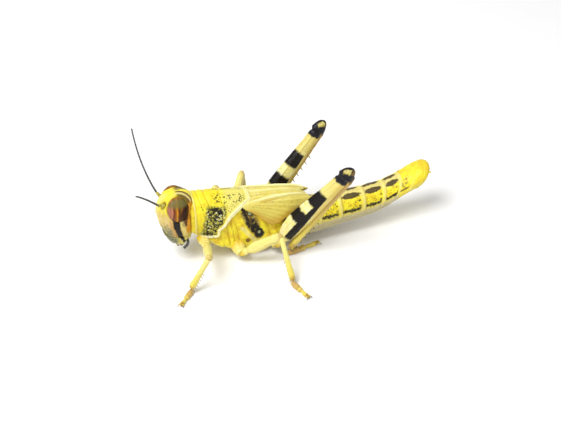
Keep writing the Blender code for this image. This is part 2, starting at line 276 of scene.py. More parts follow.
class Surface:
    """A mesh in the making, in millimetres, whose points keep two coordinates and some named marks."""

    def __init__(self, *marks: str) -> None:
        """Start an empty mesh whose points can hold the named marks."""
        self.body = bmesh.new()
        self.marks = {name: self.body.verts.layers.float.new(name) for name in ("u", "v", *marks)}

    def _settle(self, verts: list, faces_before: int, place: Place, relief: Relief, marks: Marks) -> None:
        """Put new points in place, face them outwards, raise the relief and write the marks.

        Args:
            verts: the new points, whose two coordinates are already written.
            faces_before: how many faces there were before them.
            place: says where a point of two coordinates lies.
            relief: says how far it stands out from there.
            marks: says what is marked on it.
        """
        u_layer, v_layer = self.marks["u"], self.marks["v"]
        for vert in verts:
            vert.co = place(vert[u_layer], vert[v_layer])
        self.body.faces.ensure_lookup_table()
        faces = self.body.faces[faces_before:]
        for face in faces:
            face.normal_update()
        middle = sum((vert.co for vert in verts), Vector()) / len(verts)
        if sum(f.calc_area() * f.normal.dot(f.calc_center_median() - middle) for f in faces) < 0:
            bmesh.ops.reverse_faces(self.body, faces=faces)
        self.body.normal_update()
        if relief:
            heights = [relief(vert[u_layer], vert[v_layer], vert.co) for vert in verts]
            for vert, height in zip(verts, heights):
                vert.co += vert.normal * height
        if marks:
            for vert in verts:
                for name, value in marks(vert[u_layer], vert[v_layer], vert.co).items():
                    vert[self.marks[name]] = value

    def add_bead(
        self, sides: int, rings: int, place: Place, relief: Relief = None, marks: Marks = None
    ) -> None:
        """Add a closed body of rings between two poles.

        Args:
            sides: points round each ring.
            rings: bands from pole to pole.
            place: where the point at a share of the rings, from 0 to 1, and an angle lies.
            relief: how far it stands out.
            marks: what is marked on it.
        """
        faces_before = len(self.body.faces)
        verts = bmesh.ops.create_uvsphere(self.body, u_segments=sides, v_segments=rings, radius=1)["verts"]
        for vert in verts:
            ring = round(acos(max(-1, min(1, vert.co.z))) / HALF_TURN * rings)
            vert[self.marks["u"]] = ring / rings
            vert[self.marks["v"]] = atan2(vert.co.y, vert.co.x)
        self._settle(verts, faces_before, place, relief, marks)

    def add_sheet(
        self,
        columns: int,
        rows: int,
        thickness: float,
        place: Place,
        relief: Relief = None,
        marks: Marks = None,
    ) -> None:
        """Add a plate of even thickness whose outer face is a grid.

        Args:
            columns: faces along the first coordinate, which runs from 0 to 1.
            rows: faces along the second coordinate, which runs from 0 to 1.
            thickness: how far the inner face lies below the outer one.
            place: where the outer point at two coordinates lies, seen so that its normal points out.
            relief: how far it stands out.
            marks: what is marked on it.
        """
        faces_before = len(self.body.faces)
        verts = bmesh.ops.create_grid(self.body, x_segments=columns, y_segments=rows, size=1)["verts"]
        for vert in verts:
            vert[self.marks["u"]] = (vert.co.x + 1) / 2
            vert[self.marks["v"]] = (vert.co.y + 1) / 2
        self._settle(verts, faces_before, place, relief, marks)
        self.body.faces.ensure_lookup_table()
        outer = self.body.faces[faces_before:]
        made = bmesh.ops.extrude_face_region(self.body, geom=outer, use_keep_orig=True)["geom"]
        self.body.normal_update()
        for vert in (part for part in made if isinstance(part, bmesh.types.BMVert)):
            vert.co -= vert.normal * thickness
        self.body.faces.ensure_lookup_table()
        bmesh.ops.recalc_face_normals(self.body, faces=self.body.faces[faces_before:])

    def add_limb(
        self, limb: "Limb", sides: int = 16, rings: int = 16, relief: Relief = None, marks: Marks = None
    ) -> None:
        """Add a limb.

        Args:
            limb: its shape.
            sides: points round it.
            rings: bands along it.
            relief: how far it stands out.
            marks: what is marked on it.
        """
        self.add_bead(sides, rings, lambda u, v: limb.point(along_limb(u), v), relief, marks)

    def add_chain(self, points: Curve, beads: Sequence[tuple[float, float, float]], sides: int = 12) -> None:
        """Add short beads end to end along a curve, each a little wider where it ends.

        Args:
            points: the curve's points by share of its length.
            beads: for each bead, where it starts and ends on the curve, and its radius.
            sides: points round each bead.
        """
        for low, high, radius in beads:
            start, end = points.point(low), points.point(high)
            overlap = (end - start) * 0.06
            shape = outline(radius, (0, 0.86), (0.5, 0.92), (0.85, 1.04), (1, 0.95))
            bead = Limb(start - overlap, end + overlap, shape, power=10)
            self.add_limb(bead, sides, 10, marks=ring_marks((low + high) / 2))

    def add_thorn(self, base: Vector, tip: Vector, radius: float, curl: Vector = Vector((0, 0, 0))) -> None:
        """Add a thorn that tapers from its base to its tip and curls by a vector.

        Args:
            base: the middle of its foot.
            tip: its point.
            radius: its radius at the foot.
            curl: how far its middle bows.
        """
        shape = outline(radius, (0, 1), (0.35, 0.8), (0.85, 0.28), (1, 0.06))
        self.add_limb(Limb(base, tip, shape, curl, 12), 8, 8, marks=tip_marks)

    def finish(self, name: str, finish: "Finish", slot: str = "", new: bool = False) -> None:
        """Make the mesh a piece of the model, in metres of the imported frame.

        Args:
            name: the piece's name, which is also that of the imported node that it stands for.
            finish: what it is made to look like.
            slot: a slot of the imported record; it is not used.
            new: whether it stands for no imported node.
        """
        verts = self.body.verts[:]
        bmesh.ops.translate(self.body, verts=verts, vec=SHIFT)
        bmesh.ops.scale(self.body, verts=verts, vec=(MM, MM, MM))
        mesh = bpy.data.meshes.new(name)
        self.body.to_mesh(mesh)
        self.body.free()
        mesh.shade_smooth()
        mesh.materials.append(finish.material())
        piece = bpy.data.objects.new(name, mesh)
        bpy.context.scene.collection.objects.link(piece)
        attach(piece, "root")
        if not new:
            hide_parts(name)
        LOG.info("%s: %d faces", name, len(mesh.polygons))




# --- Shaders ---


class Tint(Enum):
    """The colours of the animal, in linear light."""

    LEMON = (0.85, 0.74, 0.032)
    GOLD = (0.66, 0.45, 0.02)
    CREAM = (0.78, 0.7, 0.23)
    IVORY = (0.86, 0.82, 0.48)
    STRAW = (0.7, 0.59, 0.11)
    TAN = (0.52, 0.34, 0.11)
    ORANGE = (0.66, 0.29, 0.012)
    RUST = (0.26, 0.075, 0.012)
    OLIVE = (0.22, 0.2, 0.07)
    SMOKE = (0.055, 0.05, 0.045)
    BLACK = (0.008, 0.006, 0.005)
    UMBER = (0.09, 0.05, 0.014)
    BELLY = (0.5, 0.44, 0.28)
    BLUSH = (0.7, 0.5, 0.3)
    SLATE = (0.1, 0.1, 0.105)


Socket = bpy.types.NodeSocket
Colour = tuple[float, float, float]
Shade = Union[Tint, Colour, Socket]
Value = Union["Field", float]
Method = Callable[["Field", Value], "Field"]


def maths(operation: str, swapped: bool = False) -> Method:
    """Return a method of Field.

    Args:
        operation: the Math node's operation.
        swapped: whether the other value comes first.

    Returns:
        The method, which takes the other value.
    """

    def method(self: "Field", other: Value) -> "Field":
        """Return the result of the operation on this value and another."""
        return self.graph.math(operation, *((other, self) if swapped else (self, other)))

    return method


class Field:
    """A number that varies over a surface, which takes Python's arithmetic."""

    __add__ = __radd__ = maths("ADD")
    __sub__, __rsub__ = maths("SUBTRACT"), maths("SUBTRACT", swapped=True)
    __mul__ = __rmul__ = maths("MULTIPLY")
    __truediv__ = maths("DIVIDE")
    __pow__ = maths("POWER")
    least = maths("MINIMUM")
    most = maths("MAXIMUM")

    def __init__(self, graph: "Graph", socket: Socket) -> None:
        """Wrap an output socket of the graph."""
        self.graph = graph
        self.socket = socket

    def __abs__(self) -> "Field":
        """Return the size without its sign."""
        return self.graph.math("ABSOLUTE", self)

    def sine(self) -> "Field":
        """Return the sine."""
        return self.graph.math("SINE", self)

    def step(self, low: float, high: float) -> "Field":
        """Return a smooth step from 0 at low to 1 at high; low may be the larger."""
        inputs = {"Value": self, "From Min": low, "From Max": high}
        node = self.graph.node("ShaderNodeMapRange", inputs, interpolation_type="SMOOTHSTEP")
        return Field(self.graph, node.outputs["Result"])

    def within(self, low: float, high: float, soft: float) -> "Field":
        """Return 1 between low and high, fading over soft at each side."""
        return self.step(low - soft, low + soft) * self.step(high + soft, high - soft)


class Graph:
    """The nodes of one material, whose places are millimetres in the animal's own frame.

    Its paint is the colour so far, which every new layer covers in part.
    """

    def __init__(self, name: str) -> None:
        """Start a material of this name that holds one shader."""
        self.result = bpy.data.materials.new(name)
        self.result.use_nodes = True
        self.tree = self.result.node_tree
        self.shader = self.tree.nodes["Principled BSDF"]
        self.paint: Shade = Tint.CREAM
        coordinates = self.node("ShaderNodeTexCoord").outputs["Object"]
        scaled = self.vector("SCALE", {0: coordinates, "Scale": 1 / MM})
        self.place = self.vector("SUBTRACT", {0: scaled, 1: tuple(SHIFT)})
        split = self.node("ShaderNodeSeparateXYZ", {"Vector": self.place})
        self.x, self.y, self.z = (Field(self, socket) for socket in split.outputs)

    def feed(self, socket: Socket, value: Union[Value, Shade]) -> None:
        """Link a socket to a field or another socket, or set it to a constant."""
        if isinstance(value, Tint):
            value = value.value
        if isinstance(value, Field):
            value = value.socket
        if isinstance(value, Socket):
            self.tree.links.new(value, socket)
        else:
            socket.default_value = (*value, 1) if socket.type == "RGBA" else value

    def node(
        self, kind: str, inputs: dict[Union[str, int], Union[Value, Shade]] = None, **settings: object
    ) -> bpy.types.Node:
        """Add a node.

        Args:
            kind: its type.
            inputs: what each socket takes, by name or number.
            **settings: its own settings, which are set first.

        Returns:
            The node.
        """
        made = self.tree.nodes.new(kind)
        for name, value in settings.items():
            setattr(made, name, value)
        for key, value in (inputs or {}).items():
            self.feed(made.inputs[key], value)
        return made

    def math(self, operation: str, *values: Value) -> Field:
        """Return the result of one operation on numbers."""
        made = self.node("ShaderNodeMath", dict(enumerate(values)), operation=operation)
        return Field(self, made.outputs[0])

    def vector(self, operation: str, inputs: dict[Union[str, int], Shade]) -> Socket:
        """Return the result of one operation on vectors, whose inputs go by name or number."""
        return self.node("ShaderNodeVectorMath", inputs, operation=operation).outputs[0]

    def join(self, x: Value, y: Value, z: Value) -> Socket:
        """Return the vector of three numbers."""
        return self.node("ShaderNodeCombineXYZ", {0: x, 1: y, 2: z}).outputs[0]

    def mark(self, name: str) -> Field:
        """Return a mark of the mesh."""
        return Field(self, self.node("ShaderNodeAttribute", attribute_name=name).outputs["Fac"])

    def cloud(self, pitch: float, detail: float = 2, where: Socket = None) -> Field:
        """Return a soft unevenness from 0 to 1 that changes over the pitch in millimetres."""
        inputs = {"Vector": where or self.place, "Scale": 1 / pitch, "Detail": detail}
        return Field(self, self.node("ShaderNodeTexNoise", inputs).outputs["Fac"])

    def waver(self, pitch: float, amount: float = 1, detail: float = 3) -> Field:
        """Return a soft unevenness about 0 that is the amount from end to end."""
        return (self.cloud(pitch, detail) - 0.5) * amount

    def cells(self, pitch: float, feature: str = "F1", randomness: float = 1) -> Field:
        """Return the distance from the middle or edge of cells that lie about a pitch apart."""
        inputs = {"Vector": self.place, "Scale": 1 / pitch, "Randomness": randomness}
        return Field(self, self.node("ShaderNodeTexVoronoi", inputs, feature=feature).outputs["Distance"])

    def spots(self, pitch: float, size: float, soft: float = 0.08) -> Field:
        """Return 1 in round spots that lie about a pitch apart; size is their share of the pitch."""
        return self.cells(pitch).step(size + soft, size - soft)

    def mix(self, factor: Value, under: Shade, over: Shade) -> Socket:
        """Return the colour under, covered by the colour over where the factor is 1."""
        made = self.node("ShaderNodeMix", {0: factor, 6: under, 7: over}, data_type="RGBA")
        return made.outputs[2]

    def lay(self, factor: Value, over: Shade) -> None:
        """Cover the paint with a colour where the factor is 1."""
        self.paint = self.mix(factor, self.paint, over)

    def ground(self, pitch: float, base: Shade, cloud: Shade) -> None:
        """Start the paint with a colour that is clouded with a second over a pitch."""
        self.paint = self.mix(self.cloud(pitch, 3).step(0.35, 0.7), base, cloud)

    def ramp(self, value: Field, *stops: tuple[float, Colour]) -> Socket:
        """Return the colour at a value on a ramp of stops, each a position and a colour."""
        made = self.node("ShaderNodeValToRGB", {0: value})
        elements = made.color_ramp.elements
        elements[0].position, elements[-1].position = stops[0][0], stops[-1][0]
        for position, _ in stops[1:-1]:
            elements.new(position)
        for element, (_, colour) in zip(elements, stops):
            element.color = (*colour, 1)
        return made.outputs["Color"]

    def strokes(self, first: Field, second: Field, *lines: tuple[float, ...]) -> Field:
        """Return 1 along straight strokes in two coordinates.

        Args:
            first: the first coordinate.
            second: the second coordinate.
            *lines: for each stroke, its first end's two coordinates, its second end's, and half its
                width, over half of which its edge fades.

        Returns:
            The strokes.
        """
        drawn = None
        for *line, width in lines:
            run = (line[2] - line[0], line[3] - line[1])
            size = run[0] ** 2 + run[1] ** 2
            share = ((first - line[0]) * run[0] + (second - line[1]) * run[1]) / size
            share = share.most(0).least(1)
            off_first = first - line[0] - share * run[0]
            off_second = second - line[1] - share * run[1]
            distance = (off_first * off_first + off_second * off_second) ** 0.5
            stroke = distance.step(width * 1.25, width * 0.75)
            drawn = drawn.most(stroke) if drawn else stroke
        return drawn

    def ovals(self, first: Field, second: Field, *shapes: tuple[float, float, float, float]) -> Field:
        """Return 1 in soft ovals of two coordinates, each given by its middle and its two radii."""
        drawn = None
        for middle_first, middle_second, radius_first, radius_second in shapes:
            a, b = (first - middle_first) / radius_first, (second - middle_second) / radius_second
            oval = (a * a + b * b).step(1.25, 0.75)
            drawn = drawn.most(oval) if drawn else oval
        return drawn

    def dress(
        self,
        roughness: Value,
        height: Value = None,
        depth: float = 0.02,
        coat: float = 0,
        glow: float = 0,
        shine: float = 0.26,
    ) -> None:
        """Feed the paint and the rest to the shader.

        Args:
            roughness: how rough the surface is.
            height: the height of its grain, from 0 to 1.
            depth: how deep that grain is, in millimetres.
            coat: how much clear varnish lies on it.
            glow: how much light passes under its skin.
            shine: how strongly it reflects.
        """
        sockets = {
            "Base Color": self.paint,
            "Roughness": roughness,
            "Specular IOR Level": shine,
            "Coat Weight": coat,
            "Coat Roughness": 0.12,
            "Subsurface Weight": glow,
            "Subsurface Radius": (1, 0.7, 0.2),
            "Subsurface Scale": 0.3 * MM,
        }
        if height is not None:
            bump = self.node("ShaderNodeBump", {"Height": height, "Distance": depth * MM})
            sockets["Normal"] = bump.outputs["Normal"]
        for name, value in sockets.items():
            self.feed(self.shader.inputs[name], value)

    def cuticle(
        self,
        roughness: float,
        pits: tuple[float, float],
        grain: tuple[float, float],
        depth: float,
        patch: float = 0.3,
        glow: float = 0.15,
        shine: float = 0.26,
    ) -> None:
        """Dress the paint as pitted cuticle.

        Args:
            roughness: how rough it is.
            pits: the pitch and the height of its pits.
            grain: the pitch and the height of its grain.
            depth: how deep they are together, in millimetres.
            patch: the pitch of its rougher patches.
            glow: how much light passes under its skin.
            shine: how strongly it reflects.
        """
        height = self.cells(pits[0]).step(0, 0.5) * pits[1] + self.cloud(grain[0]) * grain[1]
        rough = roughness + self.waver(patch, 0.15, 2)
        self.dress(rough, height, depth, glow=glow, shine=shine)


class Finish:
    """A finish that is made once and then shared by its name."""

    name: str
    made: dict[str, bpy.types.Material] = {}

    def material(self) -> bpy.types.Material:
        """Return the finish's material, made the first time that it is asked for."""
        if self.name not in self.made:
            graph = Graph(self.name)
            self.mix_up(graph)
            self.made[self.name] = graph.result
        return self.made[self.name]

    def mix_up(self, g: Graph) -> None:
        """Lay the colours on a graph."""
        raise NotImplementedError


# --- Finishes ---


@dataclass(frozen=True)
class Plain(Finish):
    """Waxy cuticle of one colour, clouded with a second."""

    name: str
    base: Tint
    cloud: Tint
    gloss: float = 0.4

    def mix_up(self, g: Graph) -> None:
        """Lay the colours on a graph."""
        g.ground(0.9, self.base, self.cloud)
        height = g.cells(0.1) * 0.6 + g.cloud(0.25) * 0.8
        g.dress(self.gloss + g.waver(0.3, 0.15, 2), height, glow=0.15)


@dataclass(frozen=True)
class Thorny(Finish):
    """Thorns and claws that darken to glossy black at their tips."""

    name: str = "thorns"
    dark_from: float = 0.45

    def mix_up(self, g: Graph) -> None:
        """Lay the colours on a graph."""
        tip = g.mark("tip") + g.waver(0.2, 0.15, 2)
        g.paint = g.mix(tip.step(self.dark_from - 0.1, self.dark_from + 0.15), Tint.STRAW, Tint.BLACK)
        g.dress(0.28 + g.waver(0.1, 0.1, 2), g.cloud(0.08), 0.006, coat=0.2)


@dataclass(frozen=True)
class Ringed(Finish):
    """The dark grey cuticle of an antenna, paler at each of its rings and yellow at its root."""

    name: str = "antenna rings"

    def mix_up(self, g: Graph) -> None:
        """Lay the colours on a graph."""
        g.ground(0.5, Tint.SLATE, Tint.SMOKE)
        g.lay(g.mark("up").step(0.86, 1) * 0.5, Tint.OLIVE)
        g.lay(g.mark("along").step(0.05, 0.02) * 0.8, (0.5, 0.42, 0.06))
        g.dress(0.42 + g.waver(0.15, 0.1, 2), g.spots(0.07, 0.3), 0.008)


class Faceted(Finish):
    """The polished eye with its upright stripes and its net of fine facets."""

    name = "eye"
    facet = 0.075
    stripes = (
        (0.03, (0.13, 0.035, 0.004)),
        (0.11, (0.028, 0.004, 0.001)),
        (0.27, (0.02, 0.003, 0.001)),
        (0.34, (0.06, 0.016, 0.003)),
        (0.4, (0.26, 0.12, 0.012)),
        (0.46, (0.08, 0.026, 0.004)),
        (0.54, (0.13, 0.04, 0.005)),
        (0.61, (0.62, 0.26, 0.012)),
        (0.67, (0.3, 0.09, 0.01)),
        (0.74, (0.1, 0.024, 0.008)),
        (0.82, (0.44, 0.17, 0.08)),
        (0.95, (0.34, 0.13, 0.09)),
    )

    def mix_up(self, g: Graph) -> None:
        """Lay the colours on a graph."""
        height = (g.z - EYE_CENTRE.z) / EYE_RADII.z
        across = (g.x - EYE_CENTRE.x) / EYE_RADII.x + g.waver(0.8, 0.22, 2) + height * 0.1
        outer = abs(g.y).step(1.5, 2.1)
        g.paint = g.ramp(across * 0.5 + 0.5, *self.stripes)
        g.lay((across * 26).sine().step(0.2, 0.9) * 0.35, (0.06, 0.014, 0.008))
        g.lay(g.ovals(across, height, (-0.46, -0.4, 0.4, 0.62)) * 0.8, (0.03, 0.005, 0.002))
        g.lay(height.step(0.26, 0.58) * outer * 0.85, (0.15, 0.13, 0.034))
        g.lay(height.step(0.7, 0.95) * (1 - outer) * 0.8, (0.3, 0.13, 0.02))
        g.lay(height.step(-0.72, -1) * 0.7, Tint.RUST)
        net = g.cells(self.facet, "DISTANCE_TO_EDGE", 0.25).step(0, 0.28)
        g.dress(0.3 + g.cloud(0.4) * 0.1, net, 0.006, shine=0.14)


class HeadPaint(Finish):
    """The head: lemon above, tan and rosy below, with a black stripe under each eye."""

    name = "head"

    def mix_up(self, g: Graph) -> None:
        """Lay the colours on a graph."""
        waver = g.waver(0.7)
        x, z, side = g.x + waver * 0.35, g.z + waver * 0.45, abs(g.y)
        g.ground(1.3, Tint.LEMON, (0.84, 0.7, 0.08))
        g.lay(z.step(11.6, 10) * 0.92, (0.6, 0.46, 0.14))
        g.lay(z.step(10.9, 9.6) * g.cloud(0.55, 3).step(0.42, 0.66) * 0.55, Tint.BLUSH)
        streaks = g.cloud(0.35, 2, g.join(g.x * 0.6, g.y * 2.2, g.z * 0.22)).step(0.5, 0.68)
        g.lay(streaks * z.step(11.6, 10.4) * 0.6, (0.44, 0.27, 0.08))
        # The lower face darkens to a clouded olive grey: partly its own olive, partly painted shade.
        lower_face_shade = (z + g.waver(0.55, 2.4) - side.step(0.5, 1.4) * 0.5).step(9, 6.6) * x.step(12.4, 13.3)
        smoke = g.mix(g.cloud(0.3, 3).step(0.4, 0.6), (0.09, 0.1, 0.055), (0.22, 0.21, 0.1))
        g.lay(lower_face_shade * 0.9, smoke)
        g.lay(g.mark("ridge") * 0.6, (0.86, 0.72, 0.26))
        # Darker in the furrows of the face and cheeks: painted shade.
        g.lay(g.mark("furrow") * 0.5, (0.36, 0.2, 0.05))
        g.lay(x.step(12.9, 12) * z.step(10.6, 9.4) * 0.9, (0.6, 0.44, 0.11))
        g.lay(g.strokes(x, z, (13.3, 9.2, 12.8, 6.8, 0.42)) * 0.75, (0.55, 0.3, 0.08))
        gena = g.strokes(x, z, (9.9, 12.2, 10.4, 7.4, 0.75)) * side.step(0.9, 1.4)
        g.lay(gena * 0.95, Tint.ORANGE)
        brown = g.strokes(x, z, (10.75, 11.6, 11.35, 8.7, 0.42)) * side.step(1.2, 1.7)
        g.lay(brown * 0.92, (0.07, 0.014, 0.003))
        pale = g.strokes(x, z, (11.75, 9.4, 11, 5.8, 0.33)) * side.step(1.2, 1.6)
        g.lay(pale * 0.45, Tint.CREAM)
        stripe = g.strokes(x, z, (12.75, 10.4, 12.5, 8.2, 0.52), (12.5, 8.2, 11.85, 5.7, 0.42))
        g.lay(stripe * side.step(1, 1.5), Tint.BLACK)
        rim, behind = g.mark("rim"), x.step(12.6, 11.6) * z.step(11.8, 12.6)
        arcs = rim.within(0.02, 0.52, 0.08).most(rim.within(0.84, 1.2, 0.08))
        g.lay(arcs * behind * 0.92, Tint.UMBER)
        g.lay(rim.within(0.52, 0.84, 0.06) * behind * 0.8, (0.55, 0.46, 0.24))
        crown = z.step(12.2, 12.8) * side.step(1.7, 1.5)
        g.lay(g.spots(0.45, 0.2) * crown * g.cloud(0.9).step(0.5, 0.6) * 0.6, Tint.RUST)
        g.lay(g.mark("socket") * 0.3, Tint.OLIVE)
        g.cuticle(0.36, (0.16, 1), (0.12, 0.5), 0.022)


class MouthPaint(Finish):
    """The mouthparts: olive grey that turns straw towards the sides."""

    name = "mouthparts"

    def mix_up(self, g: Graph) -> None:
        """Lay the colours on a graph."""
        z, x = g.z + g.waver(0.5, 0.6), g.x + g.waver(0.6, 0.5, 2)
        g.paint = g.mix(g.cloud(0.5, 3).step(0.35, 0.65), (0.14, 0.14, 0.07), (0.27, 0.26, 0.12))
        g.lay(x.step(12.7, 12) * 0.8, Tint.STRAW)
        g.lay(g.strokes(x, z, (11.8, 6, 11.4, 5, 0.3)) * abs(g.y).step(1.2, 1.6), Tint.BLACK)
        g.lay(z.step(4.4, 3.6) * 0.7, (0.1, 0.1, 0.06))
        g.dress(0.38 + g.waver(0.2, 0.15, 2), g.cloud(0.1, 3), glow=0.1)


class ShieldPaint(Finish):
    """The pronotum: lemon, with a black mottled patch on each lobe and a pale border."""

    name = "pronotum"

    def mix_up(self, g: Graph) -> None:
        """Lay the colours on a graph."""
        waver = g.waver(0.6)
        x, angle, margin = g.x + waver * 0.5, g.mark("flank") + waver * 6, g.mark("margin")
        g.ground(1.1, Tint.LEMON, (0.8, 0.6, 0.02))
        g.lay(x.step(5.2, 3.4) * 0.75, (0.74, 0.68, 0.2))
        g.lay(angle.step(20, -20) * x.step(6.8, 8.2) * 0.6, (0.52, 0.4, 0.02))
        patch = (x + angle * 0.018).within(5, 8.15, 0.35) * angle.within(-60, 44, 6)
        patch = patch * (margin + waver * 0.3).step(0.5, 0.85)
        g.lay(patch * 0.8, (0.34, 0.33, 0.05))
        g.lay(patch * g.cloud(0.34, 2).step(0.42, 0.54), Tint.BLACK)
        core = g.ovals(x, angle, (5.75, 31, 0.85, 13), (7.2, -20, 0.9, 9))
        g.lay(core * g.cloud(0.45).step(0.36, 0.5) * 0.95, Tint.BLACK)
        bead = g.mix(g.cloud(0.8).step(0.45, 0.6), (0.62, 0.6, 0.3), Tint.IVORY)
        g.lay(g.spots(0.55, 0.27) * patch * 0.9, bead)
        dots = g.spots(0.44, 0.36).most(g.spots(0.31, 0.29)) * g.cloud(0.8).step(0.36, 0.46)
        g.lay(dots * angle.within(52, 82, 5) * x.within(1, 6.2, 0.5), (0.1, 0.1, 0.02))
        stipple = angle.within(26, 55, 5) * x.within(1.2, 4.9, 0.3) * margin.step(0.5, 0.9)
        g.lay(g.spots(0.28, 0.3) * stipple * 0.9, (0.15, 0.14, 0.04))
        lead = g.spots(0.4, 0.28) * g.ovals(x, angle, (7.6, 42, 1.2, 10))
        g.lay(lead * 0.85, (0.1, 0.09, 0.02))
        # Darker in the grooves: painted shade.
        g.lay(g.mark("groove") * 0.2, (0.42, 0.34, 0.01))
        border = (margin + waver * 0.12).step(0.66, 0.44) * x.step(9, 8.4)
        g.lay(border * (0.9 - angle.step(40, 70) * 0.35), Tint.IVORY)
        blush = border * angle.step(40, 0) * g.cloud(0.6).step(0.4, 0.6)
        g.lay(blush * 0.5, (0.76, 0.66, 0.5))
        g.lay((g.x + waver * 0.1).step(9.22, 9.36) * 0.75, Tint.CREAM)
        height = g.cells(0.17).step(0.05, 0.5) + g.cloud(0.12) * 0.4
        g.dress(0.38 + g.waver(0.3, 0.15, 2), height, 0.03, glow=0.15)


class FlankPaint(Finish):
    """The sides of the thorax: yellow folds with an oblique dark band and ringed spots."""

    name = "flank"

    def mix_up(self, g: Graph) -> None:
        """Lay the colours on a graph."""
        waver = g.waver(0.6)
        x, z, side = g.x + waver * 0.35, g.z + waver * 0.35, abs(g.y).step(1.9, 2.6)
        g.ground(0.9, Tint.LEMON, Tint.GOLD)
        g.lay(z.step(4, 2) * 0.6, Tint.STRAW)
        g.lay(g.z.step(1.9, 1.2) * 0.8, Tint.BELLY)
        # Orange-brown along the three upper fold grooves: painted shade in the folds.
        for line in ((4.6, 8.2, 3.9, 3.4, 0.13), (3.7, 7.6, 3, 3, 0.16), (2.9, 7, 2.2, 3.4, 0.1)):
            g.lay(g.strokes(x, z, line) * side * 0.4, (0.5, 0.3, 0.01))
        g.lay(g.strokes(x, z, (1.9, 6.3, -0.5, 3, 0.34)) * side * 0.9, Tint.CREAM)
        smoke = g.mix(g.cloud(0.4, 3).step(0.4, 0.6), (0.14, 0.08, 0.02), (0.4, 0.3, 0.07))
        g.lay(g.strokes(x, z, (0.9, 8.8, -0.1, 6.3, 1.1)) * side * 0.9, smoke)
        lines = ((1.5, 9.9, 1.1, 8.6, 0.5), (0.45, 7, -1.05, 4.3, 0.8), (1.2, 8.4, 0.7, 7, 0.26))
        band = g.strokes(x, z, *lines) * side
        g.lay(band * 0.6, Tint.UMBER)
        g.lay(band * g.cloud(0.5, 2).step(0.32, 0.46), Tint.BLACK)
        g.lay(g.ovals(x, z, (-1, 4.7, 0.72, 0.85), (0.45, 8.6, 0.55, 0.52)) * side, Tint.BLACK)
        eyelets = g.ovals(g.x, g.z, (-1, 4.75, 0.25, 0.33), (0.42, 8.6, 0.32, 0.3))
        g.lay(eyelets * side * 0.85, (0.36, 0.38, 0.2))
        # Dark brown patches on the flank just behind the middle hip: painted shade.
        hip_shade = g.ovals(x, z, (0.95, 3.6, 0.42, 0.46), (1.75, 2.7, 0.34, 0.3))
        g.lay(hip_shade * side * 0.85, (0.12, 0.05, 0.02))
        # Darker in the grooves of the folds: painted shade.
        g.lay(g.mark("groove") * 0.3, (0.4, 0.24, 0.02))
        g.cuticle(0.4, (0.18, 0.6), (0.2, 0.8), 0.03)


@dataclass(frozen=True)
class PadPaint(Finish):
    """A wing pad: straw, with fine veins, rows of dots, and shade and a highlight painted at its edges."""

    name: str
    edge: float
    base: Tint

    def mix_up(self, g: Graph) -> None:
        """Lay the colours on a graph."""
        waver, vein = g.waver(0.7), g.mark("vein")
        across, along = g.mark("across"), g.mark("along")
        g.paint = g.mix(g.cloud(1.2, 3).step(0.3, 0.7), self.base, (0.74, 0.62, 0.11))
        g.lay((across + waver * 0.2).step(0.6, 0.95) * 0.6, (0.9, 0.8, 0.26))
        # Deeper orange along the lower edge: painted shade, which on a fore pad stands for the hind pad's
        # shadow over it.
        g.lay((across + waver * 0.14).step(0.42, 0.04) * self.edge, (0.58, 0.33, 0.025))
        g.lay(vein.step(0.35, 0.9) * 0.2, Tint.CREAM)
        trough = vein.step(0.3, 0.05)
        g.lay(trough * 0.26, (0.46, 0.33, 0.04))
        g.lay(g.spots(0.3, 0.24) * trough * across.within(0.5, 0.84, 0.06) * 0.9, (0.14, 0.09, 0.02))
        # Pale along the raised upper rim: a painted highlight.
        g.lay(across.step(0.9, 0.95) * self.edge, (0.92, 0.86, 0.42))
        g.lay(along.step(0.1, 0.02) * 0.35, Tint.CREAM)
        net = g.cells(0.3, "DISTANCE_TO_EDGE").step(0.1, 0)
        g.lay(net * 0.12, Tint.CREAM)
        g.dress(0.42 + g.waver(0.3, 0.15, 2), net + g.cloud(0.2) * 0.4, glow=0.12)


